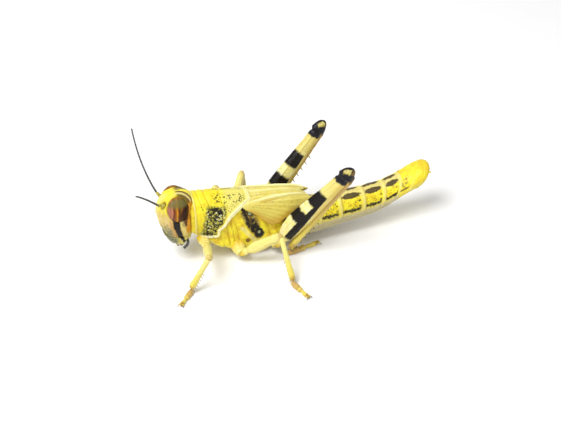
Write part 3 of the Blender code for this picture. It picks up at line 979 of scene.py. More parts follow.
class AbdomenPaint(Finish):
    """An abdomen ring: lemon flanks, a cream hind band, dark back spots and a black side line."""

    name = "abdomen"

    def mix_up(self, g: Graph) -> None:
        """Lay the colours on a graph."""
        waver = g.waver(0.45)
        along, around = g.mark("along"), g.mark("around")
        a, r = along + waver * 0.14, around + waver * 0.16
        g.ground(0.9, Tint.LEMON, (0.8, 0.6, 0.015))
        flank = r.within(0.62, 1.34, 0.12) * a.within(0.08, 0.78, 0.1)
        scribble = g.cloud(0.22, 1).step(0.53, 0.6) * g.cloud(0.9).step(0.38, 0.58)
        g.lay(scribble * flank * 0.75, (0.2, 0.15, 0.01))
        g.lay(r.step(0.62, 0.3) * 0.8, (0.72, 0.62, 0.22))
        under = r.step(1.42, 1.56)
        g.lay(under * 0.9, g.mix(r.step(1.52, 1.75), Tint.STRAW, Tint.BELLY))
        g.lay(g.spots(0.26, 0.2) * under * g.cloud(0.6).step(0.5, 0.6) * 0.5, Tint.UMBER)
        band = (a + g.waver(0.28, 0.3, 2)).step(0.8, 0.92)
        g.lay(band * 0.7 * r.step(1.75, 1.45), Tint.CREAM)
        dashes = (around * 17 + waver * 3).sine().step(0.1, 0.6) * along.within(0.7, 0.8, 0.03)
        dashes = dashes * around.within(0.5, 1.32, 0.06) * g.cloud(0.5).step(0.36, 0.5)
        g.lay(dashes * 0.9, Tint.BLACK)
        beads = g.spots(0.3, 0.28) * a.within(0.78, 0.97, 0.05) * r.step(1.5, 1.3)
        g.lay(beads * 0.4, (0.6, 0.44, 0.04))
        blot = g.ovals(a + g.waver(0.25, 0.2, 2), r + g.waver(0.3, 0.16, 2), (0.42, 0.34, 0.4, 0.23))
        g.lay(blot * 0.95, (0.045, 0.026, 0.01))
        heart = g.ovals(a, r, (0.4, 0.34, 0.22, 0.11)) * g.cloud(0.3).step(0.4, 0.6)
        g.lay(heart * 0.35, (0.2, 0.14, 0.04))
        g.lay(around.step(0.1, 0.05) * (1 - band) * 0.55, (0.66, 0.56, 0.22))
        line = (r + g.waver(0.35, 0.28)).within(1.29, 1.5, 0.05) * a.within(-0.05, 0.8, 0.06)
        g.lay(line * 0.97, Tint.BLACK)
        # Darker brown at the front of each ring, where it tucks under the ring in front: painted shade
        # between the rings.
        g.lay(a.step(0.1, 0.02) * 0.5 * r.step(1.8, 1.4), (0.36, 0.22, 0.02))
        g.cuticle(0.38, (0.13, 0.7), (0.16, 0.6), 0.022, patch=0.25)


class TailPaint(Finish):
    """The end of the abdomen: plain yellow that deepens to orange, with a brown cloud in front."""

    name = "tail"

    def mix_up(self, g: Graph) -> None:
        """Lay the colours on a graph."""
        waver = g.waver(0.7)
        x, around = g.x + waver * 0.6, g.mark("around")
        g.ground(0.9, Tint.LEMON, (0.8, 0.58, 0.03))
        g.lay(x.step(-28.6, -31.4) * 0.6, Tint.GOLD)
        shade = g.ovals(x, around + waver * 0.3, (-26.6, 0.95, 0.75, 0.55))
        g.lay(shade * g.cloud(0.5, 3).step(0.42, 0.66) * 0.8, (0.22, 0.14, 0.02))
        line = (around + waver * 0.12).within(1.33, 1.47, 0.03) * x.step(-27.7, -27)
        g.lay(line * 0.9, Tint.UMBER)
        g.lay((around + waver * 0.2).step(1.55, 1.8) * 0.8, Tint.STRAW)
        g.lay(g.mark("along").step(0.82, 0.9) * x.step(-28.6, -27.8) * 0.7, Tint.CREAM)
        g.cuticle(0.38, (0.14, 0.7), (0.16, 0.6), 0.022, patch=0.25)


class ThighPaint(Finish):
    """A hind femur: cream, with black bars across its upper face, a long black stripe and a dark knee."""

    name = "hind femur"

    def mix_up(self, g: Graph) -> None:
        """Lay the colours on a graph."""
        waver, rib, up = g.waver(0.6), g.mark("rib"), g.mark("up")
        a, h = g.mark("along") + waver * 0.035, up + waver * 0.22
        g.ground(0.9, Tint.CREAM, Tint.IVORY)
        g.lay(a.step(0.58, 0.7) * 0.85, (0.7, 0.58, 0.16))
        under = g.mix(g.cloud(0.8).step(0.4, 0.6), Tint.TAN, (0.6, 0.46, 0.16))
        g.lay(h.step(-0.62, -0.76) * 0.8, under)
        g.lay(rib * 0.18 * a.step(0.66, 0.5), Tint.STRAW)
        above = (h - a * 1.3 + 0.84).step(-0.06, 0.06)
        g.lay((1 - above) * 0.6 * a.step(0.05, 0.2), (0.66, 0.49, 0.09))
        stripe = h.within(-0.72, 0.36, 0.05) * a.within(0.07, 0.63, 0.02) * g.mark("out").step(0, 0.2)
        bars = a.within(0.27, 0.395, 0.015).most(a.within(0.495, 0.645, 0.015)) * h.step(-0.66, -0.55)
        dark = stripe.most(bars) * above
        # In the dark bars and stripe the ribs of the upper half are a little greyer: a painted sheen.
        g.lay(dark, g.mix(rib * h.step(-0.1, 0.3), Tint.BLACK, (0.016, 0.015, 0.014)))
        g.lay(g.spots(0.3, 0.22) * up.step(0.86, 0.95) * (1 - dark) * 0.6, Tint.UMBER)
        g.lay((a + h * 0.01).step(0.82, 0.842), (0.012, 0.012, 0.016))
        bite = 1 - g.ovals(a, h, (0.928, 0.25, 0.022, 0.38))
        moon = g.mix(g.cloud(0.4).step(0.4, 0.6), (0.36, 0.28, 0.05), (0.62, 0.54, 0.18))
        g.lay(g.ovals(a, h, (0.958, 0.5, 0.034, 0.44)) * bite * 0.92, moon)
        g.lay(a.step(0.955, 0.975) * h.step(0.1, -0.15) * 0.8, (0.22, 0.13, 0.035))
        g.cuticle(0.34, (0.14, 0.6), (0.16, 0.6), 0.02, patch=0.25, glow=0.1, shine=0.18)


@dataclass(frozen=True)
class ShinPaint(Finish):
    """A limb that changes from one colour at its root to another at its far end."""

    name: str
    root: Tint
    far: Tint
    root_dark: float = 0
    tip_dark: float = 0

    def mix_up(self, g: Graph) -> None:
        """Lay the colours on a graph."""
        t = g.mark("along") + g.waver(0.6, 0.1)
        g.paint = g.mix(t.step(0.2, 0.85), self.root, self.far)
        g.lay(g.cloud(0.5, 3).step(0.45, 0.75) * 0.35, Tint.GOLD)
        g.lay(g.mark("up").step(-0.3, -0.8) * 0.35, Tint.TAN)
        g.lay(t.step(0.1, 0.04) * self.root_dark, Tint.BLACK)
        g.lay(t.step(0.86, 0.97) * self.tip_dark, (0.34, 0.17, 0.03))
        g.lay(g.spots(0.28, 0.2) * g.cloud(0.7).step(0.5, 0.62) * 0.35, (0.3, 0.17, 0.03))
        g.cuticle(0.38, (0.12, 0.5), (0.12, 0.7), 0.018, patch=0.25)


# --- Trunk ---

TRUNK = Curve(
    (10.6, 9.1, 3.35, 2.6, 0.00, 0.9),
    (9.5, 8.95, 3.55, 2.8, 0.00, 0.8),
    (4.6, 6.95, 5.00, 3.3, 0.00, 0.42),
    (0, 5.9, 5.15, 3.45, 0.00, 0.4),
    (-4, 5.45, 4.5, 3.35, 0.00, 0.5),
    (-7, 4.8, 3.7, 3.05, 0.00, 0.8),
    (-10.8, 4.1, 3.15, 2.9, 0.00, 0.9),
    (-15.5, 4.35, 2.7, 2.65, 0.04, 0.9),
    (-20.4, 4.85, 2.48, 2.45, 0.1, 0.9),
    (-23.5, 5.5, 2.4, 2.3, 0.2, 0.9),
    (-26.5, 6.9, 2.32, 2.25, 0.38, 0.9),
    (-28.6, 7.95, 2.34, 2.28, 0.42, 0.9),
    (-31.2, 8.6, 2.16, 2.12, 0.35, 0.9),
)
BACK_POWER = 0.9
BELLY_SPREAD = 0.45
COLLAR_X = 9.6
LOBE_REAR_X = 5.5
LOBE_BOTTOM_Z = 5.25
THORAX_INSET = 0.91
THORAX_OVERLAP = 0.12
THORAX_CAPS = 0.07
RING_CAPS = 0.06
ABDOMEN_SEAMS = (-5.2, -8.5, -12, -15.6, -19.7, -23.2, -25.7, -27.9, -29.7)


def trunk_point(x: float, angle: float, scale: float = 1, grow: float = 0) -> Vector:
    """Return the surface of the trunk.

    Args:
        x: the station along the body.
        angle: the angle round it, from the left side over the back.
        scale: what its section is scaled by.
        grow: how far its section is grown before that.

    Returns:
        The point.
    """
    centre_z, half_height, half_width, lean, belly = TRUNK.at(x)
    power = belly if sin(angle) < 0 else BACK_POWER
    spread = 1 + BELLY_SPREAD * (1 - belly) * max(-sin(angle), 0)
    across = bulged(cos(angle), power) * (half_width * spread + grow) * scale
    rise = bulged(sin(angle), power) * (half_height + grow) * scale
    return Vector((x - rise * sin(lean), across, centre_z + rise * cos(lean)))


def from_back(angle: float) -> float:
    """Return the angle from the middle of the back, the same on both sides."""
    return abs(remainder(angle - QUARTER, TURN))


@cache
def pronotum_rear(angle: float) -> float:
    """Return where the pronotum's hind margin lies, which runs back from each lobe to the middle."""
    climb = (trunk_point(3, angle).z - 5.2) / (11.2 - 5.2)
    return LOBE_REAR_X * (1 - clamp(climb) ** 1.9)


def thorax_seam(angle: float) -> float:
    """Return where the seam between the second and third lengths of the thorax lies."""
    return -0.7 + 1.5 * sin(angle) * abs(cos(angle))


def capped(u: float, ends: float) -> tuple[float, float]:
    """Return the share along a drum and the share of its radius, at a share of its rings.

    Args:
        u: the share of the rings.
        ends: the share of the rings that each end takes.

    Returns:
        The share along the drum, then the share of its radius.
    """
    return clamp((u - ends) / (1 - 2 * ends)), min(1, u / ends, (1 - u) / ends)


@dataclass(frozen=True)
class Pronotum:
    """The saddle-shaped shield over the front of the thorax, with its grooves, ridge and raised rims."""

    columns: int = 200
    rows: int = 110
    thickness: float = 0.26
    rounding: float = 0.9
    grooves: tuple[tuple[float, float, float], ...] = ((8.55, -30, 0.12), (7.35, -45, 0.15), (4.9, 8, 0.16))

    @cache
    def lowest(self, x: float) -> float:
        """Return the angle of the lower edge of the lobe at a station."""
        centre_z, half_height, _, _, belly = TRUNK.at(x)
        drop = clamp((centre_z - LOBE_BOTTOM_Z) / half_height) ** (1 / belly)
        return -min(asin(drop), radians(60))

    @cache
    def hem(self, angle: float) -> float:
        """Return where the hind margin lies at an angle."""
        return pronotum_rear(angle) - 0.55 * bell(trunk_point(3, angle).z - 7, 1.5)

    @cache
    def where(self, u: float, v: float) -> tuple[float, float]:
        """Return the station and the angle at two coordinates."""
        corner = bell(min(u, 1 - u), 0.07)
        low = self.lowest(COLLAR_X + (LOBE_REAR_X - COLLAR_X) * v) + 0.05 * corner * smooth(0.72, 1, v)
        angle = low + (HALF_TURN - 2 * low) * u
        x = COLLAR_X + (self.hem(angle) - COLLAR_X) * (v - 0.06 * corner * v**6)
        return x, angle

    def place(self, u: float, v: float) -> Vector:
        """Return the outer point at two coordinates."""
        x, angle = self.where(u, v)
        return trunk_point(x, angle, grow=0.06)

    def margin(self, x: float, angle: float, point: Vector) -> float:
        """Return how far a point lies from the hind and lower edges."""
        arc = (trunk_point(x, angle + 0.03) - trunk_point(x, angle - 0.03)).length
        slope = (self.hem(angle + 0.03) - self.hem(angle - 0.03)) / arc
        behind = (x - self.hem(angle)) / hypot(1, slope)
        below = behind
        if from_back(angle) > 1.2:
            below = point.z - trunk_point(x, self.lowest(max(x, LOBE_REAR_X))).z
        corner = hypot(max(self.rounding - behind, 0), max(self.rounding - below, 0))
        return min(behind, below, self.rounding - corner if corner > self.rounding else behind)

    def cut_at(self, x: float, angle: float) -> float:
        """Return how much of a groove lies at a station and an angle."""
        depth = 0
        for station, lowest, width in self.grooves:
            bent = station + 0.35 * cos(2 * (angle - QUARTER)) - 0.35
            reach = smooth(lowest - 12, lowest + 12, 90 - degrees(from_back(angle)))
            depth = max(depth, bell(x - bent, width) * reach)
        return depth

    def relief(self, u: float, v: float, point: Vector) -> float:
        """Return how far the shield stands out."""
        x, angle = self.where(u, v)
        margin = self.margin(x, angle, point)
        off_ridge = from_back(angle) * 3.2
        groove = self.cut_at(x, angle)
        height = -0.14 * groove
        height += 0.2 * bell(off_ridge, 0.16) * (1 - groove) * smooth(9.4, 8.6, x)
        height += 0.09 * bell(margin - 0.26, 0.2) - 0.1 * bell(margin, 0.12)
        height -= 0.06 * bell(margin - 0.75, 0.18)
        height += 0.1 * bell(x - 9.45, 0.14) - 0.07 * bell(x - 9.1, 0.16)
        height += 0.06 * bell(from_back(angle) - 0.95, 0.1) * smooth(4.8, 3, x)
        height += 0.12 * swelling(x, degrees(angle), (6.2, 5, 0.8, 22))
        height += 0.12 * swelling(x, degrees(angle), (6.2, 175, 0.8, 22))
        return height + 0.045 * grain(point, 0.8) + 0.025 * grain(point, 0.3)

    def marks(self, u: float, v: float, point: Vector) -> Marked:
        """Return what is marked at two coordinates."""
        x, angle = self.where(u, v)
        return {
            "margin": self.margin(x, angle, point),
            "flank": 90 - degrees(from_back(angle)),
            "groove": self.cut_at(x, angle),
        }

    def build(self) -> None:
        """Make the shield."""
        shield = Surface("margin", "flank", "groove")
        shield.add_sheet(self.columns, self.rows, self.thickness, self.place, self.relief, self.marks)
        shield.finish("pronotum", ShieldPaint(), "thorax")


@dataclass(frozen=True)
class Thorax:
    """The three lengths of the thorax that the legs hang from, with their folds and breast plates."""

    folds: Ridges = (
        ((4.6, 8.4, 3.9, 3.2), 0.13, -0.16),
        ((3.7, 8, 3, 2.6), 0.12, -0.16),
        ((2.9, 7.2, 2.3, 3.2), 0.1, -0.1),
        ((2.2, 6.9, -0.3, 2.9), 0.3, 0.26),
        ((1.2, 9.6, 0.3, 6.6), 0.14, -0.16),
        ((-1.9, 8, -3, 3.6), 0.16, -0.18),
        ((-3, 6.8, -4.2, 3.2), 0.3, 0.2),
        ((-0.9, 8.8, -2.2, 5), 0.26, 0.16),
    )
    swellings: tuple[tuple[Line, float], ...] = (((3.35, 5.6, 0.34, 1.6), 0.2), ((0.6, 4.3, 0.9, 0.9), 0.16))
    slits: tuple[tuple[float, float, float], ...] = ((5, 5, 0.55), (-1.15, 3.3, 0.5))

    def fold_at(self, point: Vector) -> tuple[float, float]:
        """Return how far the folds and swellings raise a point, and how deep it lies in a groove."""
        if point.z < 2.4:
            return 0, 0
        x, z = point.x, point.z
        height = sum(rise * bell(off_line(x, z, line), width) for line, width, rise in self.folds)
        height += sum(rise * swelling(x, z, shape) for shape, rise in self.swellings)
        return height, clamp(-height * 6)

    def breast(self, point: Vector, angle: float) -> float:
        """Return how far the breast plates under the body raise a point."""
        under = smooth(2.1, 2.6, from_back(angle))
        side = abs(point.y)
        plate = 0.12 * smooth(2.9, 2.5, side) - 0.16 * bell(side, 0.1) * smooth(1, 0, point.x)
        seams = sum(bell(point.x - seam, 0.12) for seam in (6.9, 3.3, -0.2, -3.6))
        fork = bell(off_line(point.x, side, (1.6, 0.3, -0.6, 1.7)), 0.12)
        fork += bell(off_line(point.x, side, (-2, 0.3, -3.6, 1.9)), 0.12)
        return under * (plate - 0.18 * min(seams, 1) - 0.16 * min(fork, 1))

    def drum(self, front: AtAngle, rear: AtAngle, inset: AtAngle) -> Surface:
        """Return one length of the thorax.

        Args:
            front: where it starts at an angle.
            rear: where it ends at an angle.
            inset: what its section is scaled by at an angle.

        Returns:
            The mesh.
        """

        def place(u: float, v: float) -> Vector:
            """Return the point at a share of the rings and an angle."""
            share, radius = capped(u, THORAX_CAPS)
            start = front(v) + (front(0) - front(v)) * (1 - radius)
            stop = rear(v) + (rear(0) - rear(v)) * (1 - radius)
            return trunk_point(start + (stop - start) * share, v, inset(v) * radius)

        def relief(u: float, v: float, point: Vector) -> float:
            """Return how far the length stands out."""
            share, radius = capped(u, THORAX_CAPS)
            height = self.fold_at(point)[0] + self.breast(point, v) + 0.05 * grain(point, 0.7)
            lip = -0.14 * bell(share, 0.03) - 0.14 * bell(1 - share, 0.03)
            return (height + lip + 0.03 * grain(point, 0.28)) * smooth(0.6, 1, radius)

        def marks(u: float, v: float, point: Vector) -> Marked:
            """Return the groove at a point."""
            return {"groove": self.fold_at(point)[1]}

        body = Surface("groove")
        body.add_bead(200, 100, place, relief, marks)
        return body

    def build(self) -> None:
        """Make the three lengths of the thorax."""
        paint = FlankPaint()
        under = self.drum(
            lambda angle: 10.2,
            lambda angle: pronotum_rear(angle) - 0.6,
            lambda angle: 0.9 + 0.07 * smooth(0, -0.7, sin(angle)),
        )
        under.add_bead(24, 16, lambda u, v: Vector((6.9, 0, 2.6)) + ball(u, v) * Vector((0.55, 0.5, 1.1)))
        under.finish("prosternum", paint, "thorax")
        middle = self.drum(
            lambda angle: pronotum_rear(angle) + 1.2,
            lambda angle: thorax_seam(angle) - THORAX_OVERLAP,
            lambda angle: THORAX_INSET + 0.01,
        )
        middle.finish("mesothorax", paint, "thorax")
        hind = self.drum(
            lambda angle: thorax_seam(angle) + THORAX_OVERLAP,
            lambda angle: ABDOMEN_SEAMS[0] - THORAX_OVERLAP,
            lambda angle: THORAX_INSET,
        )
        hind.finish("metathorax", paint, "thorax")
        self.build_spiracles()

    def build_spiracles(self) -> None:
        """Make the breathing slit behind each lobe of the pronotum and the ear beside the first ring."""
        slits = Surface()
        for side in SIDES.values():
            for x, z, length in self.slits:
                out = abs(trunk_point(x, 0, THORAX_INSET).y) + 0.04
                for lip in (-0.1, 0.1):
                    middle, half = Vector((x + lip, out * side, z)), Vector((0.12, 0, length / 2))
                    shape = outline(0.05, (0, 1), (0.5, 2.2), (1, 1))
                    slits.add_limb(Limb(middle + half, middle - half, shape), 10, 10)
        slits.finish("spiracles", Plain("spiracles", Tint.STRAW, Tint.TAN), new=True)


@dataclass(frozen=True)
class AbdomenRing:
    """One ring of the abdomen: a back plate that overlaps the next ring, and a plate under it."""

    number: int
    sides: int = 190
    rings: int = 84
    tucked: float = 0.35
    overlap: float = 0.14

    @property
    def seams(self) -> tuple[float, ...]:
        """Return where the seams in front of the ring and behind it lie."""
        return ABDOMEN_SEAMS[self.number - 1 : self.number + 1]

    def station(self, share: float) -> float:
        """Return the station at a share of the ring, which runs past both of its seams."""
        front, rear = self.seams
        start, stop = front + self.tucked, rear - self.overlap
        return start + (stop - start) * share

    def place(self, u: float, v: float) -> Vector:
        """Return the point at a share of the rings and an angle."""
        share, radius = capped(u, RING_CAPS)
        if self.number > 6:
            swell = 0.97 + 0.05 * smooth(0, 0.3, share)
        else:
            swell = 0.94 + 0.05 * smooth(0, 0.45, share) + 0.012 * sin(HALF_TURN * share)
        return trunk_point(self.station(share), v, swell * radius)

    def relief(self, u: float, v: float, point: Vector) -> float:
        """Return how far the ring stands out."""
        share, radius = capped(u, RING_CAPS)
        back = from_back(v)
        height = 0.035 * bell(share - 0.9, 0.05) - 0.05 * bell(share - 0.8, 0.035)
        height -= 0.12 * bell(share - 1, 0.03)
        edge = 1.88 + 0.05 * sin(share * 6)
        height += 0.1 * smooth(edge - 0.16, edge - 0.05, back) * smooth(edge + 0.02, edge - 0.02, back)
        height -= 0.2 * bell(back - edge - 0.09, 0.07)
        height += 0.08 * smooth(edge + 0.18, edge + 0.34, back)
        height += 0.07 * bell(back * 2.6, 0.14) * smooth(0, 0.3, share)
        hole = hypot((share - 0.3) * 2.8, (back - 1.7) * 2.5)
        height += 0.05 * bell(hole - 0.16, 0.06) - 0.09 * bell(hole, 0.09)
        height += 0.045 * grain(point, 0.7) + 0.028 * grain(point, 0.25)
        return height * smooth(0.5, 1, radius)

    def marks(self, u: float, v: float, point: Vector) -> Marked:
        """Return what is marked at a share of the rings and an angle."""
        front, rear = self.seams
        x = self.station(capped(u, RING_CAPS)[0])
        return {"along": (front - x) / (front - rear), "around": from_back(v)}

    def build(self) -> None:
        """Make the ring."""
        ring = Surface("along", "around")
        ring.add_bead(self.sides, self.rings, self.place, self.relief, self.marks)
        paint = AbdomenPaint() if self.number < 7 else TailPaint()
        ring.finish(f"abdomen_{self.number}", paint, "abdomen")


@dataclass(frozen=True)
class AbdomenTip:
    """The blunt end of the abdomen, with its last plates and its two short feelers."""

    bluntness: float = 2.6
    end: float = -31.2

    def place(self, u: float, v: float) -> Vector:
        """Return the point at a share of the rings and an angle."""
        front = ABDOMEN_SEAMS[-1] + 0.3
        if u < RING_CAPS:
            return trunk_point(front, v, 0.99 * u / RING_CAPS)
        along = sin(QUARTER * (u - RING_CAPS) / (1 - RING_CAPS))
        close = (1 - min(along, 1) ** self.bluntness) ** (1 / self.bluntness)
        swell = 0.99 + 0.04 * smooth(0, 0.4, along)
        return trunk_point(front + (self.end - front) * along, v, close * swell)

    def relief(self, u: float, v: float, point: Vector) -> float:
        """Return how far the end stands out."""
        side, back = abs(point.y), from_back(v)
        height = -0.16 * bell(u - 0.52, 0.03) * smooth(1.5, 1.2, back)
        height -= 0.16 * bell(off_line(u, back, (0.5, 1.35, 0.98, 1.15)), 0.05)
        height -= 0.18 * bell(back - 2, 0.09) * smooth(0.1, 0.2, u)
        height -= 0.12 * bell(side, 0.08) * smooth(1.6, 2.2, back) * smooth(0.5, 0.7, u)
        height += 0.07 * bell(side, 0.12) * smooth(1, 0.5, back) * smooth(0.9, 0.6, u)
        return (height + 0.045 * grain(point, 0.6) + 0.025 * grain(point, 0.25)) * smooth(0.05, 0.12, u)

    def marks(self, u: float, v: float, point: Vector) -> Marked:
        """Return what is marked at an angle."""
        return {"along": 0.5, "around": from_back(v)}

    def build(self) -> None:
        """Make the end of the abdomen."""
        body = Surface("along", "around", "tip")
        body.add_bead(150, 90, self.place, self.relief, self.marks)
        for side in SIDES.values():
            base = trunk_point(-30.3, QUARTER - 0.95 * side, 0.8)
            base.y = abs(base.y) * side
            tip = base + Vector((-0.75, 0.2 * side, 0))
            body.add_thorn(base, tip, 0.27, Vector((0, 0.1 * side, 0.02)))
        body.finish("abdomen_tip", TailPaint(), "abdomen")


@dataclass(frozen=True)
class WingPad:
    """A wing pad: a leaf that lies on the body, with veins that run back from its root."""

    name: str
    top: Curve
    low: Curve
    side: int
    crown: float
    veins: float
    edge: float
    fan: float = 0
    thickness: float = 0.46

    def where(self, u: float, v: float) -> tuple[float, float]:
        """Return the share along the pad and the share up it from the lower edge."""
        t = along_limb(u)
        return t, 0.5 + 0.5 * cos(v) * blunt(t, 10)

    def place(self, u: float, v: float) -> Vector:
        """Return the point at a share of the rings and an angle, which is 0 at the upper edge."""
        t, across = self.where(u, v)
        upper, lower = self.top.point(t), self.low.point(t)
        back = self.top.point(max(t - 0.05, 0)) - self.top.point(min(t + 0.05, 1))
        outward = back.cross(lower - upper).normalized() * self.side
        thick = bulged(sin(v), 0.6) * blunt(t, 10) * self.thickness / 2
        return lower.lerp(upper, across) + outward * (self.crown * (1 - (2 * across - 1) ** 2) + thick)

    def vein_at(self, t: float, across: float) -> float:
        """Return 1 on a vein and 0 between veins, which fan out from the pad's root if it has a fan."""
        spread = across ** (1.15 - 0.25 * t) + 0.05 * sin(t * 5)
        if self.fan:
            point = self.low.point(t).lerp(self.top.point(t), across)
            off = self.top.point(0) + Vector((1.2, 0, 0.35)) - point
            spread = atan2(off.z, off.x) / self.fan
        return max(cos(TURN * self.veins * spread), 0) ** 3

    def relief(self, u: float, v: float, point: Vector) -> float:
        """Return how far the veins and the rim stand out."""
        t, across = self.where(u, v)
        if sin(v) < 0:
            return 0
        height = 0.024 * self.vein_at(t, across) * smooth(0.97, 0.85, t)
        height += 0.13 * bell(across - 0.95, 0.04) - 0.04 * bell(across - 0.86, 0.04)
        height += 0.04 * bell(across - 0.05, 0.04)
        return (height + 0.04 * grain(point, 0.8)) * smooth(0, 0.12, sin(v))

    def marks(self, u: float, v: float, point: Vector) -> Marked:
        """Return what is marked on the pad."""
        t, across = self.where(u, v)
        return {"along": t, "across": across, "vein": self.vein_at(t, across)}

    def build(self) -> None:
        """Make the pad."""
        body = Surface("along", "across", "vein")
        body.add_bead(200, 96, self.place, self.relief, self.marks)
        base = Tint.CREAM if self.name.startswith("fore") else Tint.STRAW
        paint = PadPaint(f"{self.name.split('_')[0]} pad", self.edge, base)
        body.finish(self.name, paint, "wing_pad")


FORE_PAD_TOP = ((1, 0.03, 10.95), (-2.6, 0.03, 10.55), (-6.2, 0.04, 10.05), (-9.6, 0.1, 9.15))
FORE_PAD_LOW = ((2, 2.65, 10), (-2.6, 2.2, 9.85), (-6.4, 1.45, 9.5), (-9.8, 0.9, 8.75))
HIND_PAD_TOP = (
    (1.6, 2.35, 10.35),
    (-0.9, 1.85, 10.42),
    (-3.4, 1.4, 10.42),
    (-6, 1.15, 10.15),
    (-8.5, 1.00, 9.65),
    (-10.5, 0.85, 8.6),
)
HIND_PAD_LOW = (
    (1.7, 2.85, 9.65),
    (-0.6, 3.15, 8.3),
    (-2.2, 3.45, 6.45),
    (-4.2, 3.4, 5.95),
    (-6.2, 2.9, 7.00),
    (-8.6, 2.05, 7.5),
    (-10.7, 1.1, 7.95),
)


def build_wing_pads() -> None:
    """Make the four wing pads: the hind pads lie outside, over the lower edges of the fore pads."""
    for word, side in SIDES.items():
        for name, top, low, *sizes in (
            ("forewing_pad", FORE_PAD_TOP, FORE_PAD_LOW, 0.12, 4, 0.6, 0),
            ("hindwing_pad", HIND_PAD_TOP, HIND_PAD_LOW, 0.34, 9, 0.9, 0.72),
        ):
            edges = Curve.through(top, side), Curve.through(low, side)
            WingPad(f"{name}_{word}", *edges, side, *sizes).build()




# --- Head ---

HEAD = Curve(
    (0.00, 13.7, 9.6, 1.8),
    (0.12, 14.5, 9.2, 2.15),
    (0.3, 14.95, 9.00, 2.45),
    (0.5, 14.8, 9.1, 2.8),
    (0.7, 14.25, 9.5, 2.6),
    (0.85, 13.6, 10.00, 2.1),
    (1.00, 12.9, 10.8, 1.5),
)
HEAD_TOP_Z = 13.75
HEAD_BOTTOM_Z = 3.3
FACE_POWER = 0.85
SOCKET = (1.17, 12.12)


def head_point(down: float, angle: float, grow: float = 0) -> Vector:
    """Return the surface of the head.

    Args:
        down: the share of the way from the crown to the lip.
        angle: the angle round it, from the middle of the face over the left cheek.
        grow: how far it is grown.

    Returns:
        The point.
    """
    front, back, half_width = HEAD.at(down)
    close = blunt(down, 7)
    x = (front + back) / 2 + ((front - back) / 2 + grow) * close * bulged(cos(angle), FACE_POWER)
    y = (half_width + grow) * close * bulged(sin(angle), FACE_POWER)
    return Vector((x, y, HEAD_TOP_Z + (HEAD_BOTTOM_Z - HEAD_TOP_Z) * down))


def eye_centre(side: float) -> Vector:
    """Return the middle of the eye on a side."""
    return Vector((EYE_CENTRE.x, EYE_CENTRE.y * side, EYE_CENTRE.z))


def eye_distance(point: Vector) -> float:
    """Return how far a point lies outside the nearer eye, negative within it."""
    side = copysign(1, point.y)
    off = Matrix.Rotation(-EYE_LEAN * side, 3, "X") @ (point - eye_centre(side))
    share = Vector((off.x / EYE_RADII.x, off.y / EYE_RADII.y, off.z / EYE_RADII.z)).length
    return (share - 1) * off.length / max(share, 0.1)


